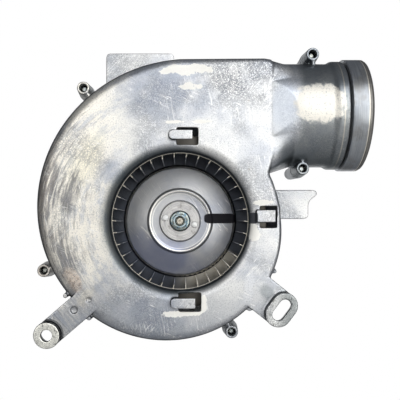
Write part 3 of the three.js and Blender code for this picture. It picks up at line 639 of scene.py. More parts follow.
def cast_aluminium(name, stained):
    """Die-cast aluminium: sandy grey with a blue cast, rubbed bright along scratches.

    The stained one also carries the marks that years of flue gas and handling left
    on the blower's face, and is painted darker towards the bottom. It also has
    painted shade in the inlet's throat, over the dents, at edges and round the pads,
    and painted highlights on the ramp, the band's crest and the tube. Faces turned
    sideways get painted shade in every cast part.
    """
    made, shader, place = material(name, 0.9, 0.42)
    x, y, z = axes(place)
    patches = grain(place, 17, 4, 0.55)
    clouds = grain(place, 75, 4, 0.62, 9)
    speckle = grain(place, 1050, 4, 0.75, 4)
    sand = grain(place, 2600, 2, 0.5, 6)
    worms = grain(place, 620, 3, 0.7, 12)
    tone = patches.between(0.34, 0.62).tint(colour(182, 188, 199), colour(222, 223, 223))
    tone = (clouds.between(0.42, 0.7) * 0.6).tint(tone, colour(238, 238, 236))
    coarse = grain(place, 30, 3, 0.5, 5).between(0.47, 0.6) * 0.6
    rough = 0.33 + clouds * 0.16
    metal = 0.9 - clouds * 0.05
    if stained:
        flow = grain(round_the_axis(place, 3.2, 120), 1.2, 6, 0.72, 2)
        hair = grain(round_the_axis(place, 5, 620), 1, 4, 0.65, 8)
        left = 1 - x.between(-0.062, -0.02)
        cream = flow.between(0.38, 0.54) * left
        tone = (cream * 0.9).tint(tone, colour(255, 251, 240))
        yellow = blotch(x, z, (-64, 41), (22, 11), 62, flow)
        tone = (yellow * 0.35).tint(tone, colour(255, 248, 214))
        blue = merged(
            blotch(x, z, (-12, 84), (30, 17), -8, clouds, 0.6),
            blotch(x, z, (-47, 33), (8, 10), 60, clouds),
            blotch(x, z, (-38, -72), (60, 26), -24, clouds, 0.7),
        )
        tone = (blue * 0.55).tint(tone, colour(158, 166, 181))
        soot = merged(
            blotch(x, z, (-90, 24), (27, 8), 84, flow, 1.3),
            blotch(x, z, (-76, 20), (15, 8), 72, flow, 1.3),
            blotch(x, z, (-80, -20), (22, 9), 106, flow, 1.3),
        )
        tone = (soot * 0.8).tint(tone, colour(118, 117, 118))
        # brownish grime and painted shade, streaked, along the far left edge of the face
        edge = (1 - x.between(-0.103, -0.08)) * flow.between(0.42, 0.52)
        tone = (edge * 0.6).tint(tone, colour(146, 130, 118))
        outer = 1 - x.between(-0.085, -0.04)
        tone = (hair.between(0.52, 0.6) * outer * 0.75).tint(tone, colour(255, 250, 238))
        tone = ((1 - hair.between(0.4, 0.47)) * outer * 0.6).tint(tone, colour(118, 113, 108))
        rust = blotch(x, z, (-73, -39), (9, 5), 118, clouds, 0.7)
        tone = (rust * 0.8).tint(tone, colour(232, 214, 196))
        brown = rust * grain(place, 420, 3, 0.7, 33).between(0.5, 0.6)
        tone = (brown * 0.7).tint(tone, colour(134, 112, 96))
        splash = blotch(x, z, (-65, -52), (8, 4), 55, grain(place, 150, 4, 0.6, 35), 1.2)
        tone = (splash * 0.55).tint(tone, colour(240, 234, 218))
        smear = blotch(x, z, (47, -45), (3.6, 12), -8, clouds, 0.6)
        tone = (smear * 0.55).tint(tone, colour(236, 238, 242))
        dull = blotch(x, z, (59, -48), (6, 4), -40, clouds, 0.7)
        tone = (dull * 0.5).tint(tone, colour(112, 122, 124))
        # the face is painted darker and bluer towards the bottom
        low = 1 - z.between(-0.085, -0.035)
        tone = (low * 0.6).tint(tone, colour(142, 150, 163))
        # painted shade: a darker patch over each ejector dent
        dent_shade = [blotch(x, z, (dx, dz), (r * 1.2, r * 1.2), 0, clouds, 0) for dx, dz, r, _ in DENTS]
        dent_shade = merged(*dent_shade)
        tone = (dent_shade * 0.35).tint(tone, colour(104, 106, 110))
        corner = x.between(0.0, 0.03) * z.between(0.066, 0.092) * (1 - x.between(0.066, 0.078))
        coarse = merged(coarse, corner * grain(place, 60, 3, 0.6, 31).between(0.36, 0.5))
        pads = 1 - y.between(-0.0058, -0.0055)
        bare_pads = x.between(-0.05, 0.05).tint(colour(248, 248, 240), colour(206, 208, 208))
        tone = pads.tint(tone, bare_pads)
        mottle = grain(place, 330, 4, 0.7, 23).between(0.52, 0.64)
        tone = (pads * mottle * 0.7).tint(tone, colour(112, 112, 106))
    pock = worms.near(0.5, 0.03, 0.05) * coarse
    tone = (pock * 0.75).tint(tone, colour(92, 97, 108))
    tone = (speckle.between(0.48, 0.66) * 0.58).tint(tone, colour(126, 130, 140))
    tone = (sand.between(0.56, 0.68) * 0.35).tint(tone, colour(252, 252, 250))
    rubbed = scratches(place, 24, 420, 0.006) + scratches(place, -47, 360, 0.005)
    rubbed = rubbed + scratches(place, 78, 390, 0.005)
    tone = (rubbed * 0.6).tint(tone, colour(250, 250, 248))
    halo = spots(place, 105, 0.085, 5)
    tone = (halo * 0.35).tint(tone, colour(150, 132, 112))
    pits = spots(place, 105, 0.04, 5) + spots(place, 260, 0.07, 3)
    tone = (pits * 0.8).tint(tone, colour(62, 58, 58))
    if stained:
        # painted shade: the bell mouth is darkened where it curls into the throat, wider on the
        # left
        mouth = 1 - (distance(x, z) + x * 0.05).between(0.0478, 0.0536)
        tone = (mouth * 0.86).tint(tone, colour(58, 68, 74))
        outlet = x.between(0.079, 0.086) + (1 - z.between(0.048, 0.062)) * x.between(0.064, 0.072)
        outlet = outlet.maths("MINIMUM", outlet, 1)
        tone = (outlet * 0.66).tint(tone, colour(112, 119, 122))
        # painted highlight: a thin light line along the crest of the band on the tube
        crest = x.near(0.1105, 0.0002, 0.0003)
        tone = (crest * 0.6).tint(tone, colour(226, 220, 206))
        # painted highlight: the ramp up to the tube is painted bluish white where it catches the
        # light
        ramp_highlight = blotch(x, z, (70, TUBE_Z), (10, 22), 0, clouds, 0.1) * x.between(0.062, 0.0635)
        tone = (ramp_highlight * 0.6).tint(tone, colour(222, 231, 244))
        ragged = grain(place, 130, 4, 0.65, 37)
        # painted highlight: a bright grainy patch on the front of the tube where the light is
        # reflected
        tube_highlight = blotch(x, z, (94, 79.5), (18, 15), 0, ragged, 0.35).between(0.3, 0.66)
        grit = grain(place, 900, 3, 0.75, 21).between(0.25, 0.5)
        tone = (tube_highlight * grit).tint(tone, colour(238, 235, 227))
        scraped = [
            # where the sliding plate and a scraper have bared the metal: centre, half size
            ((4, 102.8), (19, 3.8)),
            ((7, 91), (9, 2.6)),
            ((-5, 67.2), (8, 1.3)),
            ((15, 67.6), (7, 1.3)),
            ((2, -62.8), (16, 2.5)),
            ((16.2, -56.5), (2.4, 7)),
            ((57, 12.6), (8, 2)),
            ((49.4, -8), (5, 6)),
        ]
        bare = merged(*[blotch(x, z, c, size, 2, ragged, 0.9) for c, size in scraped])
        bare = bare.between(0.4, 0.6)
        tone = (bare * 0.9).tint(tone, colour(250, 249, 244))
        ink = ink_line(x, z, 0.0462, 0.0525) * (1 - y.between(0.004, 0.006))
        tone = (ink * 0.9).tint(tone, colour(40, 43, 56))
        rough = rough + bare * 0.2 + ink * 0.3 - outlet * 0.1 + tube_highlight * 0.15 + mouth * 0.12
        metal = metal - bare * 0.3 - ink * 0.3 - soot * 0.2 - tube_highlight * 0.3
    facing = place.node("ShaderNodeNewGeometry").part("Normal")
    _, facing, _ = axes(facing)
    # painted shade: faces turned sideways from the front are painted darker, on every cast part
    sides = facing.between(-0.8, -0.3) * (1 - facing.between(0.5, 0.85))
    tone = (sides * 0.6).tint(tone, colour(84, 92, 96))
    if stained:
        # painted shade: the rounded front edges left of the tube are painted nearly black where
        # they turn away
        edge_shade = facing.between(-0.66, -0.5) * (1 - facing.between(0.3, 0.6))
        edge_shade = edge_shade * (1 - x.between(0.06, 0.064)) * (1 - y.between(0.008, 0.013))
        tone = (edge_shade * 0.85).tint(tone, colour(42, 47, 54))
        # painted shade: the side walls of what stands in front of the face, such as pads and hook
        # tongues, are painted black
        proud_side_shade = sides * (1 - y.between(-0.0008, -0.0003))
        tone = (proud_side_shade * 0.8).tint(tone, colour(36, 40, 44))
        # painted shadow: a dark ring on the arm round the left pad's foot
        dx, dz = x - LEFT_PAD[0] * MM, z - LEFT_PAD[1] * MM
        ring = distance(dx, dz).near(0.0097, 0.0005, 0.0006)
        ring = ring * (1 - pads) * (1 - y.between(0.0005, 0.001))
        tone = (ring * 0.85).tint(tone, colour(36, 40, 44))
    height = speckle * (0.25 + coarse * 0.6) + sand * 0.3 - pits
    feed(
        shader,
        Base_Color=tone,
        Roughness=rough + pock * 0.12,
        Metallic=metal,
        Normal=bumps(height, 0.00026, 0.75),
    )
    return made


def dress(piece, finish, body, slot, *nodes):
    """Gives the piece its material, hides the frame's parts that it replaces and hangs it on the
    body it moves with.
    """
    piece.data.materials.clear()
    piece.data.materials.append(finish)
    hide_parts(*nodes)
    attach(piece, body)


front_finish = cast_aluminium("cast_aluminium_face", True)
dress(housing_front, front_finish, "housing", "cast_aluminium", "housing_front")

# -------------------------------------------------------- rear half of housing
# The other die casting: the back of the scroll with the bearing for the shaft's
# seal, the motor's screw points, a hanging plate at the top and a tab at the right.

BOLT_X = 25
SEAT_BACK = DEPTH + 2.5
PLATE_OUTLINE = [(-57.5, 80), (-57.5, 128.6), (-55.5, 130.6)]
PLATE_OUTLINE += [(-6.7, 130.6), (-4.7, 128.6), (-4.7, 105)]
TAB_OUTLINE = [(60, 1.6), (100, 1.6), (100, 15.6), (107.5, 20.5), (105.6, 24.2), (60, 24.2)]


def rounded(outline, r):
    """An outline whose corners are rounded off, r from the corner along each side."""
    points = []
    for i, (x, z) in enumerate(outline):
        corner = Vector((x, z))
        before, after = Vector(outline[i - 1]), Vector(outline[(i + 1) % len(outline)])
        start = corner + (before - corner).normalized() * min(r, (before - corner).length * 0.45)
        end = corner + (after - corner).normalized() * min(r, (after - corner).length * 0.45)
        for step in range(6):
            t = step / 5
            points.append(start * (1 - t) ** 2 + corner * 2 * t * (1 - t) + end * t**2)
    return points


housing_rear = housing_walls("housing_rear")
additions = screw_bosses(SPLIT - 2, BOSS_BACK, BOSS_R + 1.3, BOSS_R)
additions += [
    sheet("plate", rounded(PLATE_OUTLINE, 2.4), DEPTH - 4, DEPTH),
    sheet("tab", rounded(TAB_OUTLINE, 4), DEPTH - 4, DEPTH),
    rod("seal_seat", 0, 0, DEPTH - 1, SEAT_BACK, 16, 15),
    rod("motor_seat", -BOLT_X, 0, DEPTH - 1, SEAT_BACK, 6.5, 6),
    rod("motor_seat", BOLT_X, 0, DEPTH - 1, SEAT_BACK, 6.5, 6),
]
for turn in range(30, 360, 60):
    tip = arc((0, 0), 46, turn, turn, 1)[0]
    additions.append(strip("rib", (0, 0), tip, 3, DEPTH - 1, DEPTH + 1.4, 2))
openings = [gas_passage(), half_space(-20, SPLIT + SEAM)]
openings += [rod("hole", x, z, SPLIT - 1, BOSS_BACK + 1, 2.5) for x, z, _, _ in SCREWS]
openings += [rod("hole", x, 0, DEPTH - 4, DEPTH + 4, 2.5) for x in (-BOLT_X, BOLT_X)]
openings.append(rod("hole", 0, 0, DEPTH - 4, DEPTH + 4, 10))
carve(housing_rear, additions, openings)
cast_skin(housing_rear)
rear_finish = cast_aluminium("cast_aluminium_rear", False)
dress(housing_rear, rear_finish, "housing", "cast_aluminium", "housing_rear")

# ---------------------------------------------------------------- outlet collar
# A turned aluminium ring pressed over the ends of the two half tubes: its outside
# is brushed round and its edges are broken.

collar = turned(
    "outlet_collar",
    [
        (36.95, 115.8),
        (39.4, 115.8),
        (39.9, 116.1),
        (40, 116.5),
        (40, 126.6),
        (39.75, 126.9),
        (39.75, 127.2),
        (40, 127.5),
        (39.9, 128.6),
        (39.3, 129.6),
        (38.5, 130),
        (35, 130),
        (34.6, 129.6),
        (34.6, 127.7),
        (36.95, 127.7),
    ],
    180,
)
along_x(collar, SPLIT, TUBE_Z)


def smooth(piece, angle=30):
    """Smooth shading up to an angle in degrees between faces."""
    piece.data.shade_smooth()
    piece.data.set_sharp_from_angle(angle=math.radians(angle))
    return piece


smooth(collar)
finish, shader, place = material("collar_aluminium", 0.85, 0.35)
x, y, z = axes(place)
turn = x.maths("ARCTAN2", z - TUBE_Z * MM, y - SPLIT * MM)
rings = place.node("ShaderNodeCombineXYZ", None, {"X": x * 2400, "Y": turn * 1.4})
brushed = grain(rings, 1, 4, 0.65)
dull = grain(place, 90, 5, 0.6, 3)
tone = brushed.between(0.3, 0.7).tint(colour(136, 142, 152), colour(184, 188, 192))
end = x.between(0.1262, 0.1266)
tone = (end * 0.6).tint(tone, colour(134, 126, 114))
tone = (dull.between(0.45, 0.66) * 0.5).tint(tone, colour(122, 118, 110))
# painted highlight: a light line along the edge of the groove
groove_highlight = x.near(0.1266, 0.0002, 0.0003)
tone = groove_highlight.tint(tone, colour(246, 242, 230))
tone = (spots(place, 620, 0.13, 1) * end).tint(tone, colour(236, 232, 220))
feed(
    shader,
    Base_Color=tone,
    Roughness=0.2 + brushed * 0.16 + dull * 0.12,
    Normal=bumps(brushed, 0.00008, 0.6),
)
dress(collar, finish, "housing", "collar_aluminium", "outlet_collar")

# --------------------------------------------------------------- housing screws
# Five zinc-plated pan-head screws with a cross recess, driven in from behind.
# Their cut ends can be seen in the front bosses.

SCREW_R = 1.9


def thread(piece, y0, y1, pitch, r, centre=(0, 0)):
    """A ridge wound round a bar, as a thread, from y0 to y1."""
    sides = 20
    turns = (y1 - y0) / pitch
    rings = []
    for step in range(int(turns * sides) + 1):
        angle = 2 * math.pi * step / sides
        y = y0 + pitch * step / sides
        fade = min(1, step / sides, (turns * sides - step) / sides + 0.05)
        ring = []
        for reach, lift in ((-0.35, -0.45), (0.32 * fade, 0), (-0.35, 0.45)):
            d = r + reach
            x, z = centre[0] + d * math.cos(angle), centre[1] + d * math.sin(angle)
            ring.append((x, y + lift * pitch, z))
        rings.append(ring)
    return carve(piece, [loft("thread", rings)])


def cross_recess(x, z, y, size):
    """Two crossing wedges, to be cut into a screw's head."""
    tools = []
    for dx, dz in ((size, 0), (0, size)):
        tools.append(strip("recess", (x - dx, z - dz), (x + dx, z + dz), 0.75, y - 1.5, y + 2))
    return tools


def plated_steel(name, low, high, rough=0.3):
    """Zinc-plated steel: a bluish film with straw and violet clouds and dull rubs."""
    made, shader, place = material(name, 0.95, rough)
    film = grain(place, 300, 4, 0.6)
    rubs = grain(place, 1400, 4, 0.7, 5)
    tone = film.between(0.35, 0.65).tint(low, high)
    tone = (film.near(0.5, 0.02, 0.03) * 0.35).tint(tone, colour(190, 176, 132))
    tone = (rubs.between(0.6, 0.75) * 0.5).tint(tone, colour(86, 90, 94))
    normal = bumps(rubs, 0.00004, 0.5)
    feed(shader, Base_Color=tone, Roughness=rough - 0.08 + rubs * 0.25, Normal=normal)
    return made


screw_finish = plated_steel("screw_zinc", colour(150, 166, 176), colour(202, 210, 212))
head = BOSS_BACK + 0.3
head_top = head + 2.4
pan_head = [(0, head), (3.8, head), (3.8, head + 0.9), (3.5, head + 1.7), (2.8, head + 2.3)]
pan_head += [(1.6, head_top), (0, head_top)]
for number, (x, z, _, _) in enumerate(SCREWS, 1):
    screw = rod(f"housing_screw_{number}", x, z, 20.6, head + 1, SCREW_R - 0.15, sides=32)
    point = rod("point", x, z, 20, 20.7, SCREW_R - 0.7, SCREW_R - 0.15, 32)
    carve(screw, [point, turned("pan", pan_head, 40, (x, z))])
    thread(screw, 21, 60, 1.6, SCREW_R - 0.05, (x, z))
    carve(screw, (), cross_recess(x, z, head_top, 2))
    smooth(screw, 35)
    dress(screw, screw_finish, "housing", "zinc_steel", f"housing_screw_{number}")

# ------------------------------------------------------------------ blade ring
# The wheel's thirty-four forward-curved blades, stamped from thin galvanised
# sheet, their front ends held by a rolled ring. Dust has greyed them; their front
# edges and the ring's rolled edge carry painted highlights, and the lower right is
# painted light.

WHEEL_R = 60
WHEEL_FRONT = 8.9
WHEEL_BACK = 51
BLADE_COUNT = 34
BLADE_INNER_R = 43

blade_ring = turned(
    "blade_ring",
    [
        (47.1, 9.3),
        (47.5, 8.95),
        (48.1, WHEEL_FRONT),
        (59.2, WHEEL_FRONT),
        (59.8, 9.2),
        (WHEEL_R, 9.8),
        (WHEEL_R, 13.4),
        (59.2, 13.4),
        (59.2, 10.3),
        (58.9, 9.9),
        (48.1, 9.9),
        (47.5, 9.85),
        (47.05, 9.7),
    ],
    204,
)


def curved_blade(turn):
    """A blade that leans into the turn at its outer edge, with rounded inner corners."""
    steps = 10
    rings = []
    for i in range(steps + 1):
        r = BLADE_INNER_R + (WHEEL_R - 0.9 - BLADE_INNER_R) * i / steps
        angle = turn - 0.13 * (i / steps) ** 2
        corner = max(0, 1.2 - (r - BLADE_INNER_R)) ** 2
        front, back = WHEEL_FRONT + 0.7 + corner, WHEEL_BACK - 0.35
        ring = []
        for y, side in ((front, 0.22), (back, 0.22), (back, -0.22), (front, -0.22)):
            lean = angle + side / r
            ring.append((r * math.cos(lean), y, r * math.sin(lean)))
        rings.append(ring)
    return loft("blade", rings)


def lower_right(turn):
    """Mask of the wheel's lower right, painted lighter as though lit there, from the angle round
    the axis.
    """
    return turn.between(-1.75, -1.35) * (1 - turn.between(-0.6, -0.5))


carve(blade_ring, [curved_blade(2 * math.pi * i / BLADE_COUNT) for i in range(BLADE_COUNT)])
smooth(blade_ring)
finish, shader, place = material("blade_steel", 0.9, 0.4)
x, y, z = axes(place)
radius = distance(x, z)
dust = grain(place, 160, 5, 0.65)
flecks = grain(place, 1500, 3, 0.7, 2)
turn = x.maths("ARCTAN2", z, x)
tone = dust.between(0.35, 0.7).tint(colour(108, 114, 124), colour(170, 173, 178))
# painted light: the blades in the wheel's lower right are painted near white, as if lit there
lit_lower_right = lower_right(turn) * (1 - radius.between(0.0485, 0.049))
tone = (lit_lower_right * (0.7 + dust * 0.3)).tint(tone, colour(255, 250, 238))
tone = (flecks.between(0.58, 0.72) * 0.5).tint(tone, colour(168, 164, 156))
# painted highlight: glints on the blades' front edges
tip = (1 - y.between(0.0096, 0.0099)) * radius.between(0.0436, 0.0446)
tone = (tip * 0.9).tint(tone, colour(236, 230, 216))
# painted shade: the ring's front face, in the narrow gap behind the inlet's lip, is painted near
# black
flange = radius.between(0.0484, 0.0488) * (1 - y.between(0.0098, 0.0105))
tone = (flange * 0.85).tint(tone, colour(44, 41, 40))
# painted highlight: a bright line along the ring's rolled inner edge
rim_highlight = radius.near(0.0476, 0.0009, 0.0004) * (1 - y.between(0.0098, 0.0105))
tone = rim_highlight.tint(tone, colour(244, 238, 222))
feed(
    shader,
    Base_Color=tone,
    Metallic=0.7 - lit_lower_right * 0.45 - rim_highlight * 0.3,
    Roughness=0.34 + dust * 0.3,
    Normal=bumps(flecks, 0.00006, 0.5),
)
dress(blade_ring, finish, "wheel", "blade_steel", "blade_ring")

# ------------------------------------------------------------------ wheel disc
# Pressed galvanised disc that drives the blades: a slightly coned middle with a
# stiffening bead and a turned-back rim. A black witness line crosses its right side.

DISC_HOLE = 8.2
disc_face = [
    (DISC_HOLE, 47),
    (16, 47),
    (20.8, 47.12),
    (21.5, 47),
    (22.2, 46.5),
    (23, 46.25),
    (23.8, 46.5),
    (24.5, 47.05),
    (25.3, 47.3),
    (39.6, 47.88),
    (40.6, 48),
    (41.3, 48.4),
    (41.6, 49.1),
    (42.2, 50.6),
    (42.7, WHEEL_BACK),
    (59.7, WHEEL_BACK),
]
disc_back = [
    (59.7, WHEEL_BACK + 0.9),
    (42, WHEEL_BACK + 0.9),
    (41.1, 51),
    (40.6, 49.4),
    (39.6, 48.9),
    (25.3, 48.3),
    (16, 48),
    (DISC_HOLE, 48),
]
wheel_disc = turned("wheel_disc", disc_face + disc_back, 240)
RIVETS_FROM_AXIS = 11.4
RIVET_ANGLES = [168, -14]
RIVET_HOLE_R = 1.7
rivet_places = [arc((0, 0), RIVETS_FROM_AXIS, angle, angle, 1)[0] for angle in RIVET_ANGLES]
carve(wheel_disc, (), [rod("hole", x, z, 44, 50, RIVET_HOLE_R, sides=24) for x, z in rivet_places])
smooth(wheel_disc, 40)

finish, shader, place = material("disc_steel", 0.9, 0.28)
x, y, z = axes(place)
radius = distance(x, z)
wound = round_the_axis(place, 3, 1200)
turned_lines = grain(wound, 1, 4, 0.7)
film = grain(place, 34, 5, 0.6, 3)
specks = spots(place, 520, 0.1, 2)
tone = film.between(0.3, 0.7).tint(colour(160, 165, 178), colour(198, 199, 200))
tone = (turned_lines.between(0.5, 0.75) * 0.35).tint(tone, colour(140, 146, 160))
tone = (specks * 0.7).tint(tone, colour(92, 92, 98))
# painted reflection: a bluish cast over the disc's lower left
blue_reflection = blotch(x, z, (-14, -26), (30, 15), -20, film, 0.5)
tone = (blue_reflection * 0.6).tint(tone, colour(142, 150, 184))
lint = spots(place, 240, 0.07, 8) * film.between(0.45, 0.55)
lint = lint + scratches(place, 52, 300, 0.004) * 0.6
tone = lint.tint(tone, colour(246, 245, 240))
# painted highlights: bright lines on the rounded edge of the coned middle and along the stiffening
# bead
rim_highlight = merged(
    radius.near(0.0411, 0.0003, 0.0003),
    radius.near(0.0226, 0.0003, 0.0002),
    radius.near(0.0208, 0.0001, 0.0002) * 0.7,
)
tone = (rim_highlight * 0.9).tint(tone, colour(250, 248, 240))
# painted shadow: dark lines where the coned middle steps down to the rim and round the hub's flange
gap_shadow = radius.between(0.0416, 0.0419) * (1 - radius.between(0.0428, 0.0431))
gap_shadow = merged(gap_shadow, radius.near(0.0156, 0.0002, 0.0002) * 0.8)
tone = (gap_shadow * 0.9).tint(tone, colour(22, 23, 28))
turn = x.maths("ARCTAN2", z, x)
lit_lower_right = lower_right(turn)
crimp = turn.maths("SINE", turn * 69).between(-0.1, 0.1)
# painted light: the crimp marks at the disc's edge are painted bright only in the lower right, as
# if lit there
lit_crimps = lit_lower_right * crimp * radius.near(0.0418, 0.0003, 0.0002)
tone = lit_crimps.tint(tone, colour(240, 236, 226))
# painted shade: the disc's outer ring among the blades is painted darker and bluer; painted light
# makes it near white in the lower right
outer = radius.between(0.0428, 0.0431)
tone = (outer * 0.8).tint(tone, colour(106, 113, 128))
tone = (outer * lit_lower_right).tint(tone, colour(255, 250, 238))
ink = ink_line(x, z, 0.0181, 0.0425)
tone = ink.tint(tone, colour(18, 16, 27))
feed(
    shader,
    Base_Color=tone,
    Metallic=0.92 - ink * 0.8 - outer * 0.45,
    Roughness=0.2 + turned_lines * 0.16 + film * 0.12 + ink * 0.35,
    Normal=bumps(turned_lines, 0.00003, 0.4),
)
dress(wheel_disc, finish, "wheel", "disc_steel", "wheel_disc")

# ------------------------------------------------------------- hub and rivets
# Turned steel hub: a thin flange in front of the disc and a sleeve on the shaft.
# Two rivets hold the disc to its flange.

BORE_R = 4.35  # of all that sits on the shaft

wheel_hub = turned(
    "wheel_hub",
    [
        (3.4, 45.1),
        (14.7, 45.1),
        (15.2, 45.5),
        (15.2, 46.7),
        (7.8, 46.7),
        (7.8, 55.4),
        (7.3, 56),
        (BORE_R, 56),
        (BORE_R, 46.5),
        (3.4, 46.5),
    ],
    120,
)
carve(wheel_hub, (), [rod("hole", x, z, 44, 48, RIVET_HOLE_R, sides=24) for x, z in rivet_places])
smooth(wheel_hub)


def turned_steel(name, low, high, rough=0.3, lines=2600):
    """Lathe-turned steel: fine rings round the axis, small stains and bright nicks."""
    made, shader, place = material(name, 0.93, rough)
    tooling = grain(round_the_axis(place, 1.2, lines), 1, 3, 0.6)
    stains = grain(place, 210, 5, 0.65, 4)
    tone = tooling.between(0.3, 0.7).tint(low, high)
    tone = (stains.between(0.5, 0.7) * 0.55).tint(tone, colour(112, 108, 104))
    tone = (spots(place, 900, 0.12, 2) * 0.6).tint(tone, colour(240, 238, 234))
    rough = rough - 0.06 + tooling * 0.14 + stains * 0.12
    feed(shader, Base_Color=tone, Roughness=rough, Normal=bumps(tooling, 0.00004, 0.5))
    return made


hub_finish = turned_steel("hub_steel", colour(176, 176, 178), colour(222, 221, 218), 0.38)
dress(wheel_hub, hub_finish, "wheel", "hub_steel", "wheel_hub")
rivet_finish, shader, place = material("rivet_aluminium", 0.4, 0.45)
wear = grain(place, 900, 4, 0.7)
tone = wear.between(0.35, 0.65).tint(colour(232, 234, 236), colour(250, 250, 248))
feed(shader, Base_Color=tone, Roughness=0.3 + wear * 0.3, Normal=bumps(wear, 0.00005, 0.5))
rivet_profile = [(0, 43.9), (1.5, 43.93), (2.1, 44.1), (2.4, 44.4), (2.4, 44.8), (1.2, 44.8)]
rivet_profile += [(1.2, 48.4), (2.4, 48.4), (2.2, 48.9), (1.8, 49.3), (0, 49.3)]
for number, place in enumerate(rivet_places, 1):
    rivet = smooth(turned(f"hub_rivet_{number}", rivet_profile, 40, place), 50)
    dress(rivet, rivet_finish, "wheel", "hub_steel", f"hub_rivet_{number}")

# ------------------------------------------------------------------- wheel nut
# Zinc-plated flange nut that clamps the hub on the shaft's thread, with chamfered
# corners and a washer face.

NUT_FRONT = 38.8
NUT_BACK = 44.8
flange = [(0, 43.2), (5.9, 43.2), (6.6, 43.35), (7.5, 43.8), (7.9, 44.2), (7.9, 44.6)]
wheel_nut = turned("wheel_nut", flange + [(7.7, NUT_BACK), (0, NUT_BACK)], 96)
hexagon = arc((0, 0), 5 / math.cos(math.radians(30)), 10, 310, 5)
hex_body = sheet("hexagon", hexagon, NUT_FRONT, 44)
chamfer = [(0, NUT_FRONT), (4.9, NUT_FRONT), (6.1, 39.6), (6.1, 44.5), (0, 44.5)]
carve(hex_body, shared=[turned("chamfer", chamfer, 96)])
countersink = turned("countersink", [(0, 38), (4.2, 38), (3.4, 39.5), (3.4, 46), (0, 46)], 64)
carve(wheel_nut, [hex_body], [countersink])
smooth(wheel_nut, 25)
nut_finish = plated_steel("nut_zinc", colour(112, 138, 152), colour(178, 196, 204), 0.26)
dress(wheel_nut, nut_finish, "wheel", "zinc_steel", "wheel_nut")

# ----------------------------------------------------------------- motor shaft
# Ground steel shaft of the motor: its end is turned down and threaded for the nut,
# the rest runs through the seal, both bushes and the rotor.

motor_shaft = turned(
    "motor_shaft",
    [(0, 37.6), (2.2, 37.6), (2.7, 38.1), (2.7, 47.4), (4, 47.6), (4, 129.4), (3.4, 130), (0, 130)],
    96,
)
thread(motor_shaft, 38.8, 46.6, 1, 2.85)
carve(motor_shaft, (), [turned("centre", [(0, 37), (1.1, 37), (0, 38.6)], 32)])
smooth(motor_shaft, 25)
shaft_finish = turned_steel("shaft_steel", colour(168, 164, 152), colour(216, 210, 196), 0.24, 3200)
dress(motor_shaft, shaft_finish, "wheel", "shaft_steel", "motor_shaft")

# ----------------------------------------------------------------- cooling fan
# Small stamped fan behind the housing: a galvanised disc on a collar, with eight
# vanes bent up from it, that blows air over the motor.

FAN_Y = 70
FAN_R = 20
fan_profile = [(BORE_R, FAN_Y - 2), (6.2, FAN_Y - 2), (6.5, FAN_Y - 1.7), (6.5, FAN_Y)]
fan_profile += [(19.8, FAN_Y), (FAN_R, FAN_Y + 0.3), (FAN_R, FAN_Y + 0.8), (19.8, FAN_Y + 1)]
cooling_fan = turned("cooling_fan", fan_profile + [(BORE_R, FAN_Y + 1)], 120)
vanes = []
for number in range(8):
    outline = []
    for side in (0.4, -0.4):
        edge = []
        for i in range(7):
            r = 11 + 8.5 * i / 6
            angle = math.radians(45 * number + 14 * (i / 6) ** 1.5) + side / r
            edge.append((r * math.cos(angle), r * math.sin(angle)))
        outline += edge if side > 0 else edge[::-1]
    vanes.append(sheet("vane", outline, FAN_Y + 0.5, FAN_Y + 5))
carve(cooling_fan, vanes)
smooth(cooling_fan)
fan_finish = plated_steel("fan_steel", colour(150, 156, 162), colour(198, 202, 206), 0.36)
dress(cooling_fan, fan_finish, "wheel", "disc_steel", "cooling_fan")

# ------------------------------------------------- stator, shading rings, rotor
# The motor's iron: stamped laminations with the rotor's bore over the coil's leg,
# two copper shading rings let into the poles, and the rotor with its end rings.

STACK = (86, 114)
STACK_CUT = (STACK[0] - 1, STACK[1] + 1)


def laminated(name, low, high):
    """Stacked sheets 0.5 mm thick, their cut edges dark and slightly rusty."""
    made, shader, place = material(name, 0.75, 0.5)
    x, y, z = axes(place)
    layer = y.maths("FRACT", y / 0.0005)
    joint = layer.near(0, 0.12, 0.16)
    by_sheet = place.node("ShaderNodeCombineXYZ", None, {"X": y * 2000, "Y": x * 30, "Z": z * 30})
    sheet_tone = grain(by_sheet, 1)
    rust = grain(place, 130, 5, 0.65, 7)
    tone = sheet_tone.between(0.35, 0.65).tint(low, high)
    tone = (rust.between(0.56, 0.72) * 0.55).tint(tone, colour(122, 84, 58))
    tone = (joint * 0.75).tint(tone, colour(34, 34, 38))
    normal = bumps(1 - joint, 0.00012, 0.7)
    feed(shader, Base_Color=tone, Roughness=0.42 + rust * 0.25, Normal=normal)
    return made


outline = arc((27, -49), 3, 270, 360, 5) + [(30, 18), (21, 28), (-21, 28), (-30, 18)]
outline += arc((-27, -49), 3, 180, 270, 5)
stator = sheet("stator_stack", outline, *STACK)
shading_legs = {}
for number, start in ((1, 0), (2, 180)):
    shading_legs[number] = [arc((0, 0), 17, start + a, start + a, 1)[0] for a in (32, 74)]
openings = [
    box("window", (-18, STACK_CUT[0], -37), (18, STACK_CUT[1], -20)),
    rod("bore", 0, 0, *STACK_CUT, 13.4, sides=96),
]
openings += [rod("hole", x, 0, *STACK_CUT, 2.5, sides=32) for x in (-BOLT_X, BOLT_X)]
for legs in shading_legs.values():
    openings += [rod("hole", x, z, *STACK_CUT, 1.7, sides=24) for x, z in legs]
carve(stator, (), openings)
smooth(stator)
iron_finish = laminated("lamination", colour(92, 94, 100), colour(134, 136, 140))
dress(stator, iron_finish, "housing", "lamination", "stator_stack")

rotor_profile = [(BORE_R, 85), (10.6, 85), (11.2, 85.3), (11.6, 86.6), (12.8, 87)]
rotor_profile += [(12.8, 113), (11.6, 113.4), (11.2, 114.7), (10.6, 115), (BORE_R, 115)]
rotor = smooth(turned("rotor_core", rotor_profile, 96))
dress(rotor, iron_finish, "wheel", "lamination", "rotor_core")

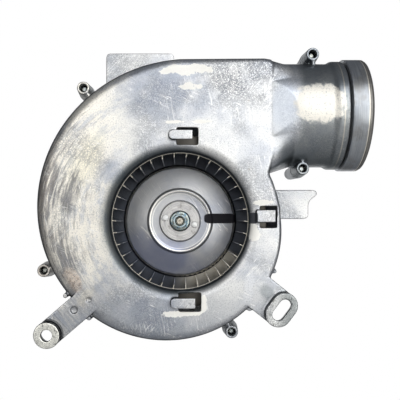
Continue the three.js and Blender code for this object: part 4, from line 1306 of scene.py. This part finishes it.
copper_finish, shader, place = material("copper", 0.95, 0.3)
tarnish = grain(place, 260, 5, 0.6)
tone = tarnish.between(0.35, 0.7).tint(colour(196, 112, 66), colour(132, 74, 48))
drawn = grain(place, 2200, 2, 0.5, 3)
feed(shader, Base_Color=tone, Roughness=0.2 + tarnish * 0.35, Normal=bumps(drawn, 0.00003, 0.4))
for number, ((x0, z0), (x1, z1)) in shading_legs.items():
    near_y, far_y = STACK[0] - 1.3, STACK[1] + 1.3
    ring = rod(f"shading_ring_{number}", x0, z0, near_y, far_y, 1.2, sides=24)
    ends = [rod("leg", x1, z1, near_y, far_y, 1.2, sides=24)]
    for y in (near_y, far_y):
        ends.append(strip("end", (x0, z0), (x1, z1), 2.2, y - 0.8, y + 0.8))
        for x, z in ((x0, z0), (x1, z1)):
            ends.append(rod("corner", x, z, y - 0.8, y + 0.8, 1.15, sides=24))
    carve(ring, ends)
    smooth(ring)
    dress(ring, copper_finish, "housing", "copper", f"shading_ring_{number}")

# ------------------------------------------------------- coil with its terminals
# Moulded bobbin on the stack's lower leg, the winding under glued tape, and two
# tinned tabs in the bobbin's shelf for the mains connector.

TUBE_Y = (84.2, 115.8)
COIL_Z = (-53.8, -35.2)
CHEEK_TOP = -20.6
bobbin = box("coil_bobbin", (-17.4, TUBE_Y[0], COIL_Z[0]), (17.4, TUBE_Y[1], COIL_Z[1]))
additions = []
for x in (-17.4, 15.9):
    low, high = (x, TUBE_Y[0] - 10, COIL_Z[0] - 9.6), (x + 1.5, TUBE_Y[1] + 10, CHEEK_TOP)
    additions.append(box("cheek", low, high))
additions.append(box("shelf", (-10, TUBE_Y[1] + 8.5, -26), (17.4, TUBE_Y[1] + 10, CHEEK_TOP)))
for z in (-60, -30):
    additions.append(box("rib", (16.8, TUBE_Y[0] - 8, z), (17.4, TUBE_Y[1] + 8, z + 1)))
carve(bobbin, additions, [box("core", (-18, STACK[0] - 0.3, -52.3), (18, STACK[1] + 0.3, -36.7))])


def broken_edges(piece, width):
    """Takes the sharpness off the piece's edges, width in millimetres."""
    rounding = piece.modifiers.new("rounding", "BEVEL")
    rounding.width = width * MM
    rounding.segments = 2
    evaluated(piece)
    smooth(piece)


broken_edges(bobbin, 0.3)
finish, shader, place = material("bobbin_plastic", 0, 0.5)
flow = grain(place, 45, 4, 0.6)
texture = grain(place, 1600, 3, 0.6, 2)
tone = flow.between(0.3, 0.7).tint(colour(232, 226, 208), colour(214, 207, 188))
tone = (texture.between(0.6, 0.75) * 0.3).tint(tone, colour(180, 170, 148))
feed(shader, Base_Color=tone, Roughness=0.4 + texture * 0.25, Normal=bumps(texture, 0.00005, 0.5))
dress(bobbin, finish, "housing", "bobbin", "coil_bobbin")

middle_y, middle_z = sum(TUBE_Y) / 2, sum(COIL_Z) / 2


def coil_section(x, grow, power):
    """Rounded rectangle round the bobbin's tube, in the plane across X."""
    half_y, half_z = (TUBE_Y[1] - TUBE_Y[0]) / 2 + grow, (COIL_Z[1] - COIL_Z[0]) / 2 + grow
    ring = []
    for i in range(96):
        c, s = math.cos(2 * math.pi * i / 96), math.sin(2 * math.pi * i / 96)
        reach = (abs(c / half_y) ** power + abs(s / half_z) ** power) ** (-1 / power)
        ring.append((x, middle_y + reach * c, middle_z + reach * s))
    return ring


profile = [(-15.6, 7.8), (-15.2, 8.4), (-14, 8.75)]
profile += [(x, 8.75 + 0.05 * math.cos(x)) for x in range(-13, 14)]
profile += [(14, 8.75), (15.2, 8.4), (15.6, 7.8)]
winding = loft("coil_winding", [coil_section(x, grow, 6) for x, grow in profile])
carve(winding, (), [loft("inside", [coil_section(-17, 0.4, 40), coil_section(17, 0.4, 40)])])
smooth(winding)
finish, shader, place = material("coil_tape", 0, 0.42)
x, y, z = axes(place)
turn = x.maths("ARCTAN2", z - middle_z * MM, y - middle_y * MM)
lap = x.maths("FRACT", x * 62 + turn * 0.16)
edge = lap.near(0, 0.03, 0.03)
wires = x.maths("SINE", x * 2400 * math.pi)
ageing = grain(place, 110, 5, 0.6)
tone = ageing.between(0.35, 0.7).tint(colour(176, 104, 44), colour(112, 60, 28))
tone = (edge * 0.7).tint(tone, colour(70, 36, 18))
normal = bumps(wires * 0.2 + lap, 0.00012, 0.6)
feed(shader, Base_Color=tone, Roughness=0.3 + ageing * 0.3, Normal=normal)
dress(winding, finish, "housing", "coil_tape", "coil_winding")

tab_finish = plated_steel("terminal_tin", colour(178, 180, 180), colour(216, 216, 212), 0.3)
for number, x in ((1, -4), (2, 8)):
    y0 = TUBE_Y[1] + 10.3
    tongue = [(x - 3.15, y0), (x + 3.15, y0), (x + 3.15, y0 + 6.8)]
    tongue += [(x + 2.2, y0 + 8), (x - 2.2, y0 + 8), (x - 3.15, y0 + 6.8)]
    tab = loft(f"terminal_{number}", [[(px, py, z) for px, py in tongue] for z in (-24, -23.2)])
    eye = box("eye", (x - 0.8, y0 + 4, -25), (x + 0.8, y0 + 5.6, -22))
    carve(tab, (), [eye])
    smooth(tab)
    dress(tab, tab_finish, "housing", "terminal_tin", f"terminal_{number}")

# ------------------------------------------------- bearing brackets and bushes
# Two cast brackets hold a sintered bronze bush each, in front of and behind the
# laminations. Bronze thrust washers turn with the shaft beside them.

bracket_finish = cast_aluminium("cast_aluminium_bracket", False)
bronze_finish, shader, place = material("bronze", 0.9, 0.45)
pores = grain(place, 3000, 3, 0.7)
oiled = grain(place, 150, 4, 0.6, 3)
tone = oiled.between(0.35, 0.7).tint(colour(186, 146, 78), colour(138, 100, 52))
tone = (pores.between(0.58, 0.7) * 0.6).tint(tone, colour(84, 62, 38))
feed(shader, Base_Color=tone, Roughness=0.3 + pores * 0.3, Normal=bumps(pores, 0.00005, 0.6))

for name, face, out in (("front", STACK[0], -1), ("rear", STACK[1], 1)):
    def span(a, b):
        return sorted((face + out * a, face + out * b))

    foot0, foot1 = span(0.3, 8.5)
    hub0, hub1 = span(5, 14)
    arm0, arm1 = span(5.5, 8.2)
    bracket = rod(f"bearing_bracket_{name}", 0, 0, hub0, hub1, 9.4)
    additions = [rod("foot", x, 0, foot0, foot1, 4.8) for x in (-BOLT_X, BOLT_X)]
    additions.append(box("arm", (-BOLT_X, arm0, -4), (BOLT_X, arm1, 4)))
    rib0, rib1 = span(3.4, 8.2)
    additions.append(box("rib", (-BOLT_X, rib0, -1), (BOLT_X, rib1, 1)))
    openings = [rod("bore", 0, 0, hub0 - 9, hub1 + 9, 7.4)]
    openings += [rod("hole", x, 0, foot0 - 1, foot1 + 1, 2.6) for x in (-BOLT_X, BOLT_X)]
    carve(bracket, additions, openings)
    cast_skin(bracket, 0.35, 3, 0.4)
    dress(bracket, bracket_finish, "housing", "cast_aluminium", f"bearing_bracket_{name}")
    y0, y1 = span(5.5, 12.5)
    sleeve = [(4.7, y0), (6.5, y0), (6.9, y0 + 0.4), (6.9, y1 - 0.4)]
    sleeve += [(6.5, y1), (4.7, y1), (BORE_R, y1 - 0.4), (BORE_R, y0 + 0.4)]
    bush = smooth(turned(f"bearing_bush_{name}", sleeve, 72))
    dress(bush, bronze_finish, "housing", "bronze", f"bearing_bush_{name}")

for name, y0 in (("front", 81.6), ("rear", 117.4)):
    ring = [(BORE_R, y0), (6.8, y0), (7, y0 + 0.2), (7, y0 + 0.8), (6.8, y0 + 1), (BORE_R, y0 + 1)]
    washer = smooth(turned(f"thrust_washer_{name}", ring, 72))
    dress(washer, bronze_finish, "wheel", "bronze", f"thrust_washer_{name}")

# ------------------------------------------------------ motor pillars and bolts
# Two hexagonal spacers keep the motor off the hot rear wall; long socket-head bolts
# run through both brackets, the laminations and the spacers into the housing.

pillar_finish = plated_steel("pillar_zinc", colour(166, 168, 158), colour(206, 202, 178), 0.3)
for number, x in ((1, -BOLT_X), (2, BOLT_X)):
    y0, y1 = DEPTH + 2.8, STACK[0] - 8.8
    pillar = sheet(f"motor_pillar_{number}", arc((x, 0), 4.6, 30, 330, 5), y0, y1)
    carve(pillar, (), [rod("hole", x, 0, y0 - 1, y1 + 1, 2.4)])
    broken_edges(pillar, 0.25)
    dress(pillar, pillar_finish, "housing", "zinc_steel", f"motor_pillar_{number}")
    head = STACK[1] + 8.8
    bolt = rod(f"motor_bolt_{number}", x, 0, DEPTH - 2.5, head + 1, 1.9)
    cap = [(0, head), (3.3, head), (3.6, head + 0.3), (3.6, head + 3)]
    cap += [(3.2, head + 3.6), (0, head + 3.6)]
    socket = sheet("socket", arc((x, 0), 1.7, 0, 300, 5), head + 1.6, head + 5)
    carve(bolt, [turned("cap", cap, 64, (x, 0))], [socket])
    smooth(bolt)
    dress(bolt, screw_finish, "housing", "zinc_steel", f"motor_bolt_{number}")

# ------------------------------------------------------------------- shaft seal
# A washer of graphite felt in the rear wall keeps flue gas off the motor.

seal_profile = [(4.5, 61.6), (9.2, 61.6), (9.5, 62), (9.5, 65.6), (9.2, 66), (4.5, 66)]
seal = smooth(turned("shaft_seal", seal_profile, 96), 60)
finish, shader, place = material("seal_felt", 0, 0.85)
fibres = grain(place, 2400, 5, 0.8)
matted = grain(place, 300, 3, 0.6, 4)
tone = fibres.between(0.35, 0.65).tint(colour(30, 30, 33), colour(74, 73, 74))
tone = (matted.between(0.5, 0.7) * 0.4).tint(tone, colour(96, 92, 88))
feed(shader, Base_Color=tone, Roughness=0.7 + matted * 0.25, Normal=bumps(fibres, 0.0002, 0.8))
dress(seal, finish, "housing", "seal", "shaft_seal")

# -------------------------------------------------------------- floor and light
# A plain pale floor well below the blower, a studio that is white behind it and dark
# grey elsewhere, and four soft lights in front: the key above right, one low on the
# right, one on the left and a small one in the middle.

floor = box("floor", (-1500, -1500, -1), (1500, 700, 0))
floor.location.z = -0.5
finish, shader, place = material("floor", 0, 0.8)
shader.inputs["Base Color"].default_value = (0.7, 0.7, 0.7, 1)
floor.data.materials.append(finish)

world = bpy.data.worlds.new("studio")
world.use_nodes = True
bpy.context.scene.world = world
sky = world.node_tree.nodes["Background"]
tree = world.node_tree
direction = Socket(tree, tree.nodes.new("ShaderNodeTexCoord").outputs["Generated"])
_, behind, _ = axes(direction)
sky_tone = behind.between(0.87, 0.886).tint((0.1, 0.105, 0.115, 1), (1, 1, 1, 1))
feed(sky, Color=sky_tone)
sky.inputs["Strength"].default_value = 1


def soft_light(name, place, aim, size, power, tint=(1, 1, 1)):
    """A soft box at place, turned towards aim, both in metres."""
    lamp = bpy.data.lights.new(name, "AREA")
    lamp.shape = "RECTANGLE"
    lamp.size, lamp.size_y = size
    lamp.energy = power
    lamp.color = tint
    made = bpy.data.objects.new(name, lamp)
    made.location = place
    made.rotation_euler = (Vector(aim) - Vector(place)).to_track_quat("-Z", "Y").to_euler()
    bpy.context.collection.objects.link(made)


soft_light("key", (0.42, -1.05, 0.66), (0, 0, 0.02), (1.0, 0.9), 8.2)
soft_light("right", (0.6, -1.1, -0.08), (0, 0, 0), (0.6, 0.5), 3.2, (1, 0.98, 0.93))
soft_light("left", (-0.72, -1, 0.28), (0, 0, 0), (0.9, 0.8), 4.4, (1, 0.98, 0.94))
soft_light("front", (0.02, -1.4, 0.04), (0, 0, 0), (0.3, 0.3), 0.6)
bpy.context.scene.view_settings.view_transform = "Standard"
